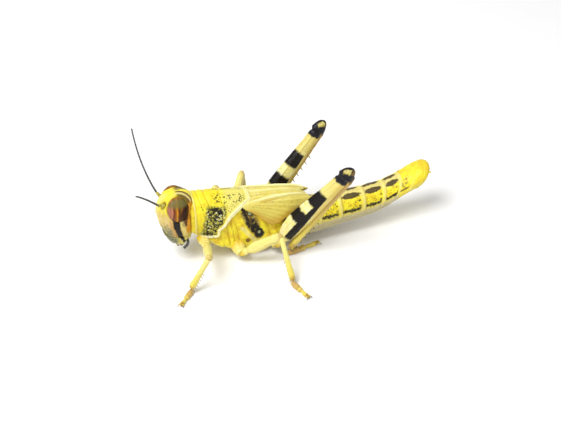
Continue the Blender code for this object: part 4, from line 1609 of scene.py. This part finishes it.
@dataclass(frozen=True)
class HeadCapsule:
    """The head's hard shell: crown, face with its ridges, cheeks, and the rims round eyes and antennae."""

    sides: int = 260
    rings: int = 210
    last: float = 0.775
    sealed_from: float = 0.95
    small_eyes: tuple[tuple[float, float, float], ...] = (
        (0.335, 0, 0.15),
        (0.1, 0.42, 0.14),
        (0.1, -0.42, 0.14),
    )
    ridges: Ridges = (
        ((0.46, 13.1, 0.4, 9.9), 0.11, 0.22),
        ((0.4, 9.9, 0.52, 7), 0.12, 0.18),
        ((0.95, 11.4, 1.35, 10.2), 0.12, 0.15),
        ((1.35, 10.2, 1.72, 6.8), 0.13, 0.22),
    )

    def place(self, u: float, v: float) -> Vector:
        """Return the point at a share of the rings and an angle."""
        down = self.last * (1 - cos(QUARTER * min(u / self.sealed_from, 1)))
        point = head_point(down, v)
        if u > self.sealed_from:
            middle = Vector((12, 0, point.z + 0.6))
            point = point.lerp(middle, (u - self.sealed_from) / (1 - self.sealed_from))
        return point

    def face(self, point: Vector) -> float:
        """Return how far the ridges and hollows of the face raise a point."""
        side, z = abs(point.y), point.z
        front = smooth(12.9, 13.7, point.x)
        height = sum(rise * bell(off_line(side, z, line), width) for line, width, rise in self.ridges)
        height += 0.13 * smooth(0.55, 0.4, side) * smooth(6.9, 7.4, z) * smooth(13.4, 12.6, z)
        height -= 0.12 * bell(side, 0.16) * smooth(10.4, 9.6, z) * smooth(6.8, 7.4, z)
        height -= 0.1 * bell(z - 6.72, 0.1) - 0.05 * bell(z - 6.45, 0.16)
        height -= 0.12 * swelling(side, z, (1.05, 11.9, 0.3, 0.7))
        return height * front

    def crown(self, point: Vector) -> float:
        """Return how far the ridges and hollows of the crown raise a point."""
        side, x = abs(point.y), point.x
        top = smooth(12.6, 13.2, point.z)
        height = 0.08 * bell(side, 0.09) * smooth(13.4, 12.8, x)
        height += 0.12 * bell(off_line(side, x, (0.85, 12.6, 0.55, 14.2)), 0.12)
        height -= 0.12 * bell(off_line(side, x, (0, 13.1, 0, 13.9)), 0.38)
        height -= 0.06 * bell(off_line(side, x, (1.2, 10.2, 0.55, 12.6)), 0.09)
        return height * top

    def cheek(self, point: Vector) -> float:
        """Return how far the furrows and swellings of the cheek raise a point."""
        x, z = point.x, point.z
        wide = smooth(1.4, 1.9, abs(point.y))
        height = -0.13 * bell(off_line(x, z, (12.95, 9.8, 12.55, 6.2)), 0.1)
        height += 0.12 * bell(off_line(x, z, (11.3, 8.9, 11.2, 7)), 0.75)
        height -= 0.1 * bell(off_line(x, z, (10.3, 12.6, 10, 7)), 0.12)
        height -= 0.09 * bell(z - 6.35, 0.1) * smooth(12.8, 12.3, x)
        return height * wide

    def socket_distance(self, point: Vector) -> float:
        """Return how far a point lies from the root of the nearer antenna."""
        if point.x < 13.3:
            return 9
        return hypot(abs(point.y) - SOCKET[0], (point.z - SOCKET[1]) * 0.9)

    def relief(self, u: float, v: float, point: Vector) -> float:
        """Return how far the shell stands out."""
        eye, socket = eye_distance(point), self.socket_distance(point)
        height = self.face(point) + self.crown(point) + self.cheek(point)
        height += 0.16 * bell(eye - 0.2, 0.13) - 0.3 * smooth(0.08, -0.3, eye)
        height -= 0.05 * bell(eye - 0.5, 0.12)
        height += 0.13 * bell(socket - 0.5, 0.1) - 0.22 * smooth(0.42, 0.2, socket)
        height += 0.035 * grain(point, 0.8) + 0.022 * grain(point, 0.28)
        return height * smooth(0.955, 0.94, u)

    def marks(self, u: float, v: float, point: Vector) -> Marked:
        """Return what is marked on the shell."""
        socket, face = self.socket_distance(point), self.face(point)
        return {
            "rim": eye_distance(point),
            "socket": smooth(0.75, 0.55, socket),
            "ridge": clamp(face * 6),
            "furrow": clamp(-(face + self.cheek(point)) * 9),
        }

    def build(self) -> None:
        """Make the shell and the three small eyes on it."""
        shell = Surface("rim", "socket", "ridge", "furrow")
        shell.add_bead(self.sides, self.rings, self.place, self.relief, self.marks)
        shell.finish("head", HeadPaint(), "head")
        lenses = Surface()
        for down, angle, radius in self.small_eyes:
            middle = head_point(down, angle, 0.06)
            lenses.add_bead(20, 14, lambda u, v: middle + ball(u, v) * radius)
        lenses.finish("ocelli", Plain("ocelli", Tint.ORANGE, Tint.STRAW, 0.12), "eye", new=True)


def build_eyes() -> None:
    """Make the two large eyes."""
    for word, side in SIDES.items():
        lean = Matrix.Rotation(EYE_LEAN * side, 3, "X")
        eye = Surface()
        eye.add_bead(
            110,
            90,
            lambda u, v: eye_centre(side) + lean @ (ball(u, v) * EYE_RADII),
            lambda u, v, point: 0.012 * grain(point, 0.6),
        )
        eye.finish(f"eye_{word}", Faceted(), "eye")


@dataclass(frozen=True)
class Plate:
    """A mouth plate that lies on the head's outline between two depths and two angles."""

    name: str
    upper: float
    lower: float
    left: float
    right: float
    grow: float
    notch: float = 0
    new: bool = False

    def place(self, u: float, v: float) -> Vector:
        """Return the point at a share along the plate and a share down it."""
        angle = radians(self.left + (self.right - self.left) * u)
        round_low = 0.035 * abs(2 * u - 1) ** 3
        lower = self.lower - round_low - self.notch * bell(u - 0.5, 0.1)
        down = self.upper + (lower - self.upper) * v
        point = head_point(min(down, 0.985), angle, self.grow)
        return point - UP * (0.25 * smooth(0.8, 1, v) * (1 - abs(2 * u - 1)))

    def relief(self, u: float, v: float, point: Vector) -> float:
        """Return how far the plate stands out."""
        edge = min(u, 1 - u)
        height = 0.2 * smooth(0, 0.28, edge) * smooth(1, 0.85, v) - 0.1 * bell(v - 0.3, 0.05)
        return height + 0.03 * grain(point, 0.5) - 0.08 * bell(v - 1, 0.05)

    def build(self) -> None:
        """Make the plate."""
        body = Surface()
        body.add_sheet(60, 44, 0.28, self.place, self.relief)
        body.finish(self.name, MouthPaint(), "mouthparts", self.new)


def joints(cuts: Sequence[float], radius: float) -> list[tuple[float, float, float]]:
    """Return the beads of a feeler, each where it starts and ends on the feeler, and its radius."""
    return [(low, high, radius) for low, high in zip(cuts, cuts[1:])]


@dataclass(frozen=True)
class Mouth:
    """The mouthparts: upper lip, jaws, the plates behind them, lower lip and two pairs of feelers."""

    palp: tuple[Point, ...] = ((10.95, 2.00, 5.4), (10.75, 2.3, 4.7), (11, 2.25, 4), (11.4, 2, 3.4))
    palp_joints: tuple[float, ...] = (0, 0.14, 0.28, 0.52, 0.76, 1)
    palp_radius: float = 0.25
    inner_palp: tuple[Point, ...] = ((10.5, 0.75, 4.2), (10.5, 1, 3.4), (11, 0.9, 2.7))
    inner_palp_joints: tuple[float, ...] = (0, 0.34, 0.66, 1)
    inner_palp_radius: float = 0.18

    def core_point(self, u: float, v: float) -> Vector:
        """Return the point of the dark core behind the plates at a share of its rings and an angle."""
        down = 0.6 + 0.36 * u
        if 0 < u < 1:
            return head_point(down, v, -0.45 - 1.2 * bell(u, 0.04) - 1.2 * bell(1 - u, 0.04))
        return Vector((11.9, 0, head_point(down, 0).z))

    def build(self) -> None:
        """Make the mouthparts."""
        Plate("labrum", 0.735, 0.985, -52, 52, 0.1, 0.045).build()
        Plate("mandible_left", 0.74, 0.955, 50, 92, -0.02).build()
        Plate("mandible_right", 0.74, 0.955, -92, -50, -0.02).build()
        Plate("galea_left", 0.75, 0.965, 86, 118, 0.08, new=True).build()
        Plate("galea_right", 0.75, 0.965, -118, -86, 0.08, new=True).build()
        Plate("labium", 0.7, 0.985, 112, 248, -0.04, 0.06).build()
        core = Surface()
        core.add_bead(48, 24, self.core_point)
        core.finish("mouth_core", Plain("mouth core", Tint.SMOKE, Tint.UMBER, 0.55), "mouthparts", new=True)
        for word, side in SIDES.items():
            palp = Surface("along", "up")
            palp.add_chain(Curve.through(self.palp, side), joints(self.palp_joints, self.palp_radius), 16)
            palp.finish(f"palp_{word}", Ringed("palps"), "mouthparts")
            inner = Surface("along", "up")
            path = Curve.through(self.inner_palp, side)
            inner.add_chain(path, joints(self.inner_palp_joints, self.inner_palp_radius), 14)
            inner.finish(f"labial_palp_{word}", Ringed("palps"), "mouthparts", new=True)


@dataclass(frozen=True)
class Antenna:
    """One antenna: a stout first joint, a short second, and a whip of rings."""

    word: str
    root: Vector
    reach: Vector
    bow: Vector
    rings: int = 24
    radius: float = 0.19
    taper: float = 0.055

    def whip(self) -> Curve:
        """Return the line of the whip, which bows away from the straight."""
        shares = [k / 8 for k in range(9)]
        return Curve.through([self.root + self.reach * t + self.bow * (4 * t * (1 - t)) for t in shares])

    def build(self) -> None:
        """Make the antenna."""
        foot = Vector((13.95, SOCKET[0] * SIDES[self.word], 12.05))
        whip = self.whip()
        first = outline(0.3, (0, 1), (0.6, 1.2), (1, 1))
        second = outline(0.22, (0, 1), (0.6, 1.27), (1, 1))
        body = Surface("along", "up")
        scape = Limb(foot, foot.lerp(self.root, 0.75), first, power=8)
        body.add_limb(scape, 20, 16, marks=ring_marks(0))
        pedicel = Limb(foot.lerp(self.root, 0.62), whip.point(0.03), second, power=8)
        body.add_limb(pedicel, 18, 12, marks=ring_marks(0.01))
        cuts = [k / self.rings for k in range(self.rings + 1)]
        beads = [(max(a, 0.01), b, self.radius - self.taper * a) for a, b in zip(cuts, cuts[1:])]
        body.add_chain(whip, beads, 14)
        body.finish(f"antenna_{self.word}", Ringed(), "antenna")




# --- Legs ---

LEG_POINTS = {
    "fore_left": ((8, 3.2, 4.2), (8.9, 8.8, 6), (12.2, 9.5, 1), (14.7, 12.4, 0.4)),
    "fore_right": ((7.7, -3.2, 4.3), (3.3, -7.7, 7), (4, -7.9, 1), (7.7, -9.5, 0.4)),
    "mid_left": ((2.4, 4.4, 2), (-3.5, 7.1, 6.3), (-4, 12.3, 1), (-5.5, 16.4, 0.4)),
    "mid_right": ((2, -4.4, 2.2), (-1.6, -9.4, 7.8), (-2.6, -10.8, 1), (-4.6, -14.5, 0.4)),
    "hind_left": ((-3.8, 3.9, 1.9), (-14.5, 8.4, 17.4), (0, 0, 0), (-11.4, 3.3, 0.4)),
    "hind_right": ((-2.4, -4.4, 1.9), (-14.8, -7.1, 16.2), (0, 0, 0), (-11.4, -3.2, 0.4)),
}
COXA_RADIUS = {"fore": 0.95, "mid": 1.15, "hind": 1.1}
TIBIA_RADIUS = {"fore": 0.5, "mid": 0.5, "hind": 0.52}
TARSUS_RADIUS = 0.46
THORN_LEAN = 0.62
SPUR_LEANS = (-1, -0.35, 0.35, 1)
BRISTLES = 34
BRISTLE_TURN = 2.4
# The keels of the jumping thigh: each one's angle and half width in degrees, and its height.
THIGH_KEELS = ((90, 7, 0.2), (50, 5, 0.14), (130, 5, 0.14), (-48, 5, 0.14), (-132, 5, 0.14), (-90, 8, 0.1))
THIGH_RIBS = 30
THIGH_TEETH = 34
# The joints of a foot: where each starts and ends on it, and its outline.
FOOT_JOINTS = (
    (0, 0.42, ((0, 0.85, 0.95, 0.8), (0.5, 0.86, 1.1, 0.92), (0.9, 0.95, 1.1, 1), (1, 0.7, 0.9, 0.8))),
    (0.38, 0.6, ((0, 0.6, 0.8, 0.62), (0.6, 0.8, 1.1, 0.88), (1, 0.62, 0.9, 0.72))),
    (0.56, 1, ((0, 0.5, 0.6, 0.48), (0.4, 0.52, 0.65, 0.5), (0.85, 0.74, 0.8, 0.7), (1, 0.55, 0.6, 0.55))),
)
SMALL_FEMUR = Curve(
    (0.00, 0.62, 0.62, 0.56),
    (0.1, 0.8, 0.78, 0.66),
    (0.3, 0.98, 0.92, 0.74),
    (0.75, 0.8, 0.74, 0.62),
    (0.9, 0.82, 0.72, 0.66),
    (1.00, 0.76, 0.66, 0.66),
)
HIND_FEMUR = Curve(
    (0.00, 0.95, 0.9, 0.75),
    (0.12, 1.6, 1.1, 0.95),
    (0.28, 2.00, 1.15, 1.1),
    (0.5, 1.7, 1.00, 0.98),
    (0.7, 1.35, 0.85, 0.85),
    (0.84, 1.22, 0.76, 0.78),
    (0.92, 1.5, 0.95, 0.92),
    (1.00, 1.32, 0.8, 0.82),
)


def shortened(start: Vector, end: Vector, from_start: float, from_end: float) -> tuple[Vector, Vector]:
    """Return the two ends of a limb moved towards each other by these lengths."""
    along = (end - start).normalized()
    return start + along * from_start, end - along * from_end


def keels(angle: float, places: Sequence[float], width: float) -> float:
    """Return 1 on the keels of a limb, which lie at these angles, and 0 between them."""
    return sum(bell(remainder(angle - at, TURN), width) for at in places)


def collar(t: float, crest: float, furrow: float, width: float) -> float:
    """Return a raised ring at one share of a limb with a furrow at another, from -1 to 1."""
    return bell(t - crest, width) - bell(t - furrow, width)


@dataclass(frozen=True)
class Leg:
    """One leg: hip, thigh, thorny shin and padded foot with its two claws."""

    name: str

    @property
    def pair(self) -> str:
        """Return which pair the leg belongs to."""
        return self.name.split("_")[0]

    @property
    def side(self) -> int:
        """Return 1 on the left and -1 on the right."""
        return SIDES[self.name.split("_")[1]]

    @property
    def hind(self) -> bool:
        """Return whether this is a jumping leg."""
        return self.pair == "hind"

    @property
    def thigh_way(self) -> Vector:
        """Return the direction of the thigh from its root to the knee."""
        trochanter, knee = (Vector(point) for point in LEG_POINTS[self.name][:2])
        return (knee - trochanter).normalized()

    @property
    def ventral(self) -> Vector:
        """Return the downward direction square to the thigh."""
        along = self.thigh_way
        return -(UP - along * along.z).normalized()

    @property
    def points(self) -> list[Vector]:
        """Return the trochanter, the knee, the ankle and the tip of the foot."""
        trochanter, knee, ankle, tip = (Vector(point) for point in LEG_POINTS[self.name])
        if self.hind:
            ankle = trochanter + self.ventral * 1.9 + self.thigh_way * 0.75
        return [trochanter, knee, ankle, tip]

    def build_hip(self) -> None:
        """Make the hip and the small joint between it and the thigh."""
        trochanter = self.points[0]
        root = Vector((trochanter.x + 0.3, trochanter.y * 0.5, trochanter.z + 0.9))
        shape = outline(COXA_RADIUS[self.pair], (0, 1.2), (0.6, 0.98), (0.85, 0.8), (1, 0.62))
        limb = Limb(*shortened(root, trochanter, 0, -0.25), shape, power=8, side=self.side)

        def relief(u: float, v: float, point: Vector) -> float:
            """Return how far the hip stands out."""
            rim = 0.1 * bell(u - 0.8, 0.05) - 0.1 * bell(u - 0.68, 0.04)
            return rim - 0.09 * bell(cos(v), 0.12) + 0.05 * grain(point, 0.5)

        hip = Surface("along", "up", "out")
        hip.add_limb(limb, 64, 48, relief, limb_marks)
        ends = (trochanter - self.thigh_way * 0.35, trochanter + self.thigh_way * 1.5)
        stub = Limb(*ends, outline(0.5, (0, 1), (0.5, 1.24), (1, 1)), power=6)
        hip.add_limb(stub, 40, 30, lambda u, v, point: 0.03 * grain(point, 0.4), limb_marks)
        paint = ShinPaint("hips", Tint.GOLD, Tint.CREAM, tip_dark=0.35)
        hip.finish(f"coxa_{self.name}", paint, "leg")

    def build_small_thigh(self) -> None:
        """Make the thigh of a walking leg, with its long ridges and knee lobes."""
        trochanter, knee, _, _ = self.points
        limb = Limb(*shortened(trochanter, knee, 1, -0.35), SMALL_FEMUR, power=6, side=self.side)

        def relief(u: float, v: float, point: Vector) -> float:
            """Return how far the thigh stands out."""
            t = along_limb(u)
            ridge = 0.07 * keels(v, (0.75, 2.4, -0.9, -2.2), 0.13) * smooth(0.98, 0.85, t)
            return ridge + 0.05 * collar(t, 0.9, 0.86, 0.02) + 0.03 * grain(point, 0.5)

        thigh = Surface("along", "up", "out")
        thigh.add_limb(limb, 96, 90, relief, limb_marks)
        paint = ShinPaint("walking thighs", Tint.CREAM, Tint.CREAM, tip_dark=0.45)
        thigh.finish(f"femur_{self.name}", paint, "leg")

    def build_hind_thigh(self) -> None:
        """Make the jumping thigh, with its keels, its herringbone of ribs and the lobes of its knee."""
        trochanter, knee, _, _ = self.points
        limb = Limb(*shortened(trochanter, knee, 1.35, -1.1), HIND_FEMUR, side=self.side)

        def rib_at(t: float, v: float) -> float:
            """Return 1 on a rib of the herringbone and 0 between ribs."""
            lift = abs(degrees(remainder(v, HALF_TURN)))
            wave = max(cos(TURN * (t * THIGH_RIBS + lift * 0.028)), 0) ** 2
            field = smooth(46, 36, lift) * smooth(2, 7, lift)
            return wave * field * smooth(0.08, 0.14, t) * smooth(0.84, 0.76, t)

        def relief(u: float, v: float, point: Vector) -> float:
            """Return how far the thigh stands out."""
            t, turn, up = along_limb(u), degrees(v), sin(v)
            height = sum(rise * bell(remainder(turn - at, 360), wide) for at, wide, rise in THIGH_KEELS)
            height += 0.05 * bell(remainder(turn, 180), 3) + 0.045 * rib_at(t, v)
            teeth = max(cos(TURN * t * THIGH_TEETH), 0) ** 4
            height += 0.08 * teeth * bell(turn - 90, 5)
            height *= smooth(0.02, 0.1, t) * smooth(0.9, 0.84, t)
            height += 0.12 * bell(t - 0.905, 0.012) - 0.14 * bell(t - 0.872, 0.012)
            crescent = bell(hypot((t - 0.955) * 12, up - 0.35), 0.5)
            height += 0.1 * crescent * smooth(0.88, 0.92, t) - 0.1 * bell(up, 0.1) * smooth(0.9, 0.94, t)
            return height + 0.03 * grain(point, 0.6) + 0.015 * grain(point, 0.2)

        def marks(u: float, v: float, point: Vector) -> Marked:
            """Return what is marked on the thigh."""
            return {**limb_marks(u, v, point), "rib": rib_at(along_limb(u), v)}

        thigh = Surface("along", "up", "out", "rib")
        thigh.add_limb(limb, 160, 280, relief, marks)
        thigh.finish(f"femur_{self.name}", ThighPaint(), "hind_femur")

    def build_shin(self) -> None:
        """Make the shin with its rows of thorns, its end spurs and its fine bristles."""
        _, knee, ankle, _ = self.points
        radius = TIBIA_RADIUS[self.pair]
        shape = outline(
            radius,
            (0.00, 1.1, 1.1, 1.00),
            (0.06, 1.2, 1.1, 1.05),
            (0.14, 0.92, 0.95, 0.82),
            (0.6, 0.92, 0.92, 0.85),
            (0.93, 1.12),
            (1.00, 1.00),
        )
        if self.hind:
            ends = (knee + self.ventral * 0.8 + self.thigh_way * 0.1, ankle + self.thigh_way * 0.1)
            limb = Limb(*ends, shape, self.ventral * 0.05, side=self.side)
        else:
            limb = Limb(*shortened(knee, ankle, 0.25, -0.05), shape, power=8, side=self.side)

        def relief(u: float, v: float, point: Vector) -> float:
            """Return how far the shin stands out."""
            t = along_limb(u)
            height = 0.04 * keels(v, (0.8, 2.34), 0.2) + 0.05 * collar(t, 0.955, 0.93, 0.012)
            return height - 0.06 * bell(t - 0.045, 0.015) + 0.022 * grain(point, 0.5)

        shin = Surface("along", "up", "out")
        shin.add_limb(limb, 64, 150, relief, limb_marks)
        if self.hind:
            paint, slot = ShinPaint("hind shins", Tint.TAN, Tint.STRAW, 0.8, 0.6), "hind_tibia"
        else:
            paint, slot = ShinPaint("walking shins", Tint.CREAM, Tint.STRAW, 0, 0.7), "leg"
        shin.finish(f"tibia_{self.name}", paint, slot)
        self.build_thorns(limb, radius)
        self.build_bristles(limb)

    def build_thorns(self, limb: Limb, radius: float) -> None:
        """Make the two rows of thorns on the face of a shin that folds towards the thigh, and its end spurs.

        Args:
            limb: the shin.
            radius: its radius.
        """
        few, many = (6, 0.5, 0.09, 0.42, 0.92), (10, 0.66, 0.12, 0.3, 0.93)
        count, length, foot, low, high = many if self.hind else few
        thorns = Surface("tip")
        for lean, lag in ((-THORN_LEAN, 0), (THORN_LEAN, 0.25)):
            for k in range(count):
                t = low + (high - low) * (k + lag) / (count - 0.5)
                along, away = limb.outward(t, lean - QUARTER)
                root = limb.axis(t) + away * (radius * 0.72)
                thorns.add_thorn(root, root + away * length + along * (0.45 * length), foot, along * 0.06)
        for lean in SPUR_LEANS:
            along, away = limb.outward(0.97, lean - QUARTER)
            root = limb.axis(0.965) + away * (radius * 0.75)
            reach = (1.05 if abs(lean) < 0.5 else 0.75) * (1 if self.hind else 0.6)
            thorns.add_thorn(root, root + along * reach * 0.8 + away * reach * 0.55, foot, away * 0.08)
        thorns.finish(f"thorns_{self.name}", Thorny(), "leg", new=True)

    def build_bristles(self, limb: Limb) -> None:
        """Make the fine bristles of a shin, which climb round it in a spiral."""
        bristles = Surface("tip")
        shape = outline(0.022, (0, 1), (0.5, 0.636), (1, 0.182))
        for k in range(BRISTLES):
            t, angle = 0.08 + 0.86 * k / (BRISTLES - 1), k * BRISTLE_TURN
            along, away = limb.outward(t, angle)
            root = limb.point(t, angle) - away * 0.04
            bristle = Limb(root, root + away * 0.3 + along * 0.2, shape, power=12)
            bristles.add_limb(bristle, 6, 6, marks=tip_marks)
        bristles.finish(f"bristles_{self.name}", Thorny("bristles", 0.9), "leg", new=True)

    def build_foot(self) -> None:
        """Make the foot: three padded joints, two claws and the pad between them."""
        _, _, ankle, tip = self.points
        start, end = shortened(Vector((ankle.x, ankle.y, TARSUS_RADIUS)), tip, -0.25, 0.45)
        radius = TARSUS_RADIUS * (1.15 if self.hind else 1.05)
        foot = Surface("along", "up", "out")
        for low, high, stations in FOOT_JOINTS:
            shape = outline(radius, *stations)
            ends = start.lerp(end, low), start.lerp(end, high)
            limb = Limb(*ends, shape, power=6, side=self.side, floor=0)
            pads = 1 if low else 3

            def relief(u: float, v: float, point: Vector) -> float:
                """Return how far the joint stands out, with its sole pads."""
                sole = smooth(0, -0.5, sin(v)) * smooth(0.05, 0.2, point.z)
                wave = max(cos(TURN * (u * pads - 0.5)), 0)
                return 0.1 * wave * sole + 0.02 * grain(point, 0.3)

            def marks(u: float, v: float, point: Vector) -> Marked:
                """Return how far along the foot and how far up and out a point lies."""
                return {**limb_marks(u, v, point), "along": low + (high - low) * along_limb(u)}

            foot.add_limb(limb, 40, 40, relief, marks)
        along, out, _ = Limb(start, end, shape).turned(1)
        cushion = outline(0.16, (0, 1), (0.6, 1.5), (1, 1.25))
        lobe = Limb(end - along * 0.1, end + along * 0.42 + UP * 0.05, cushion, power=4)
        foot.add_limb(lobe, 20, 16, None, lambda u, v, point: {**limb_marks(u, v, point), "along": 1})
        paint = ShinPaint("feet", Tint.TAN, Tint.STRAW, 0, 0.8)
        foot.finish(f"tarsus_{self.name}", paint, "foot")
        claws = Surface("tip")
        for sign in (-1, 1):
            base = end - along * 0.05 + out * (0.14 * sign) + UP * 0.04
            tip_point = end + along * 0.62 + out * (0.52 * sign)
            tip_point.z = 0.1
            claws.add_thorn(base, tip_point, 0.12, UP * 0.17 + out * (0.06 * sign))
        claws.finish(f"claws_{self.name}", Thorny("claws", 0.5), "foot", new=True)

    def build(self) -> None:
        """Make the whole leg."""
        self.build_hip()
        if self.hind:
            self.build_hind_thigh()
        else:
            self.build_small_thigh()
        self.build_shin()
        self.build_foot()




# --- Studio ---


@dataclass(frozen=True)
class Studio:
    """A pale floor, soft lamps and the camera."""

    target: Vector = Vector((-5.59, 0, 5.78))
    azimuth: float = 163.3
    elevation: float = 38
    distance: float = 260
    lens: float = 100.8
    daylight: float = 0.5
    lamps: tuple[tuple[str, float, float, float, float], ...] = (
        ("key", 120, 58, 150, 0.88),
        ("fill", 215, 40, 260, 0.08),
        ("rim", 20, 50, 200, 0.05),
    )

    def out(self, azimuth: float, elevation: float, distance: float) -> Vector:
        """Return the place at a distance from the target in a direction, in metres."""
        a, e = radians(azimuth), radians(elevation)
        away = Vector((sin(a) * cos(e), -cos(a) * cos(e), sin(e)))
        return (self.target + SHIFT + away * distance) * MM

    def aim(self, placed: bpy.types.Object) -> None:
        """Turn an object to look at the target."""
        towards = (self.target + SHIFT) * MM - placed.location
        placed.rotation_euler = towards.to_track_quat("-Z", "Y").to_euler()

    def add_lamp(self, name: str, azimuth: float, elevation: float, size: float, power: float) -> None:
        """Add a square lamp that looks at the target.

        Args:
            name: its name.
            azimuth: the direction that it shines from, in degrees.
            elevation: how high it stands, in degrees.
            size: its side, in millimetres.
            power: its power, in watts.
        """
        data = bpy.data.lights.new(name, "AREA")
        data.size = size * MM
        data.energy = power
        lamp = bpy.data.objects.new(name, data)
        lamp.location = self.out(azimuth, elevation, 300)
        self.aim(lamp)
        bpy.context.scene.collection.objects.link(lamp)

    def build(self) -> None:
        """Make the floor, the lamps, the sky and the camera."""
        scene = bpy.context.scene
        body = bmesh.new()
        bmesh.ops.create_grid(body, x_segments=1, y_segments=1, size=2)
        mesh = bpy.data.meshes.new("floor")
        body.to_mesh(mesh)
        body.free()
        g = Graph("floor")
        tone = g.cloud(60)
        g.paint = g.mix(tone, (0.93, 0.93, 0.93), (0.95, 0.95, 0.95))
        g.dress(0.85 + tone * 0.1)
        mesh.materials.append(g.result)
        floor = bpy.data.objects.new("floor", mesh)
        scene.collection.objects.link(floor)
        for lamp in self.lamps:
            self.add_lamp(*lamp)
        world = bpy.data.worlds.new("sky")
        world.use_nodes = True
        background = world.node_tree.nodes["Background"]
        background.inputs["Color"].default_value = (1, 1, 1, 1)
        background.inputs["Strength"].default_value = self.daylight
        scene.world = world
        camera = bpy.data.objects.new("camera", bpy.data.cameras.new("camera"))
        camera.data.lens = self.lens
        camera.data.sensor_width = 36
        camera.data.clip_start = 0.01
        camera.location = self.out(self.azimuth, self.elevation, self.distance)
        self.aim(camera)
        scene.collection.objects.link(camera)
        scene.camera = camera
        scene.view_settings.view_transform = "Standard"


def main() -> None:
    """Build the animal and its studio."""
    logging.basicConfig(level=logging.INFO, format="%(name)s: %(message)s")
    Pronotum().build()
    Thorax().build()
    for number in range(1, 9):
        AbdomenRing(number).build()
    AbdomenTip().build()
    build_wing_pads()
    HeadCapsule().build()
    build_eyes()
    Mouth().build()
    Antenna("left", Vector((15, 1.25, 12.25)), Vector((4.7, 6.2, 7.5)), Vector((0.2, 0.1, 0.4))).build()
    Antenna("right", Vector((14.6, -1.35, 12.6)), Vector((2.3, -6.6, 8.9)), Vector((0.5, 0.3, -0.2))).build()
    for name in LEG_POINTS:
        Leg(name).build()
    Studio().build()


if __name__ == "__main__":
    main()
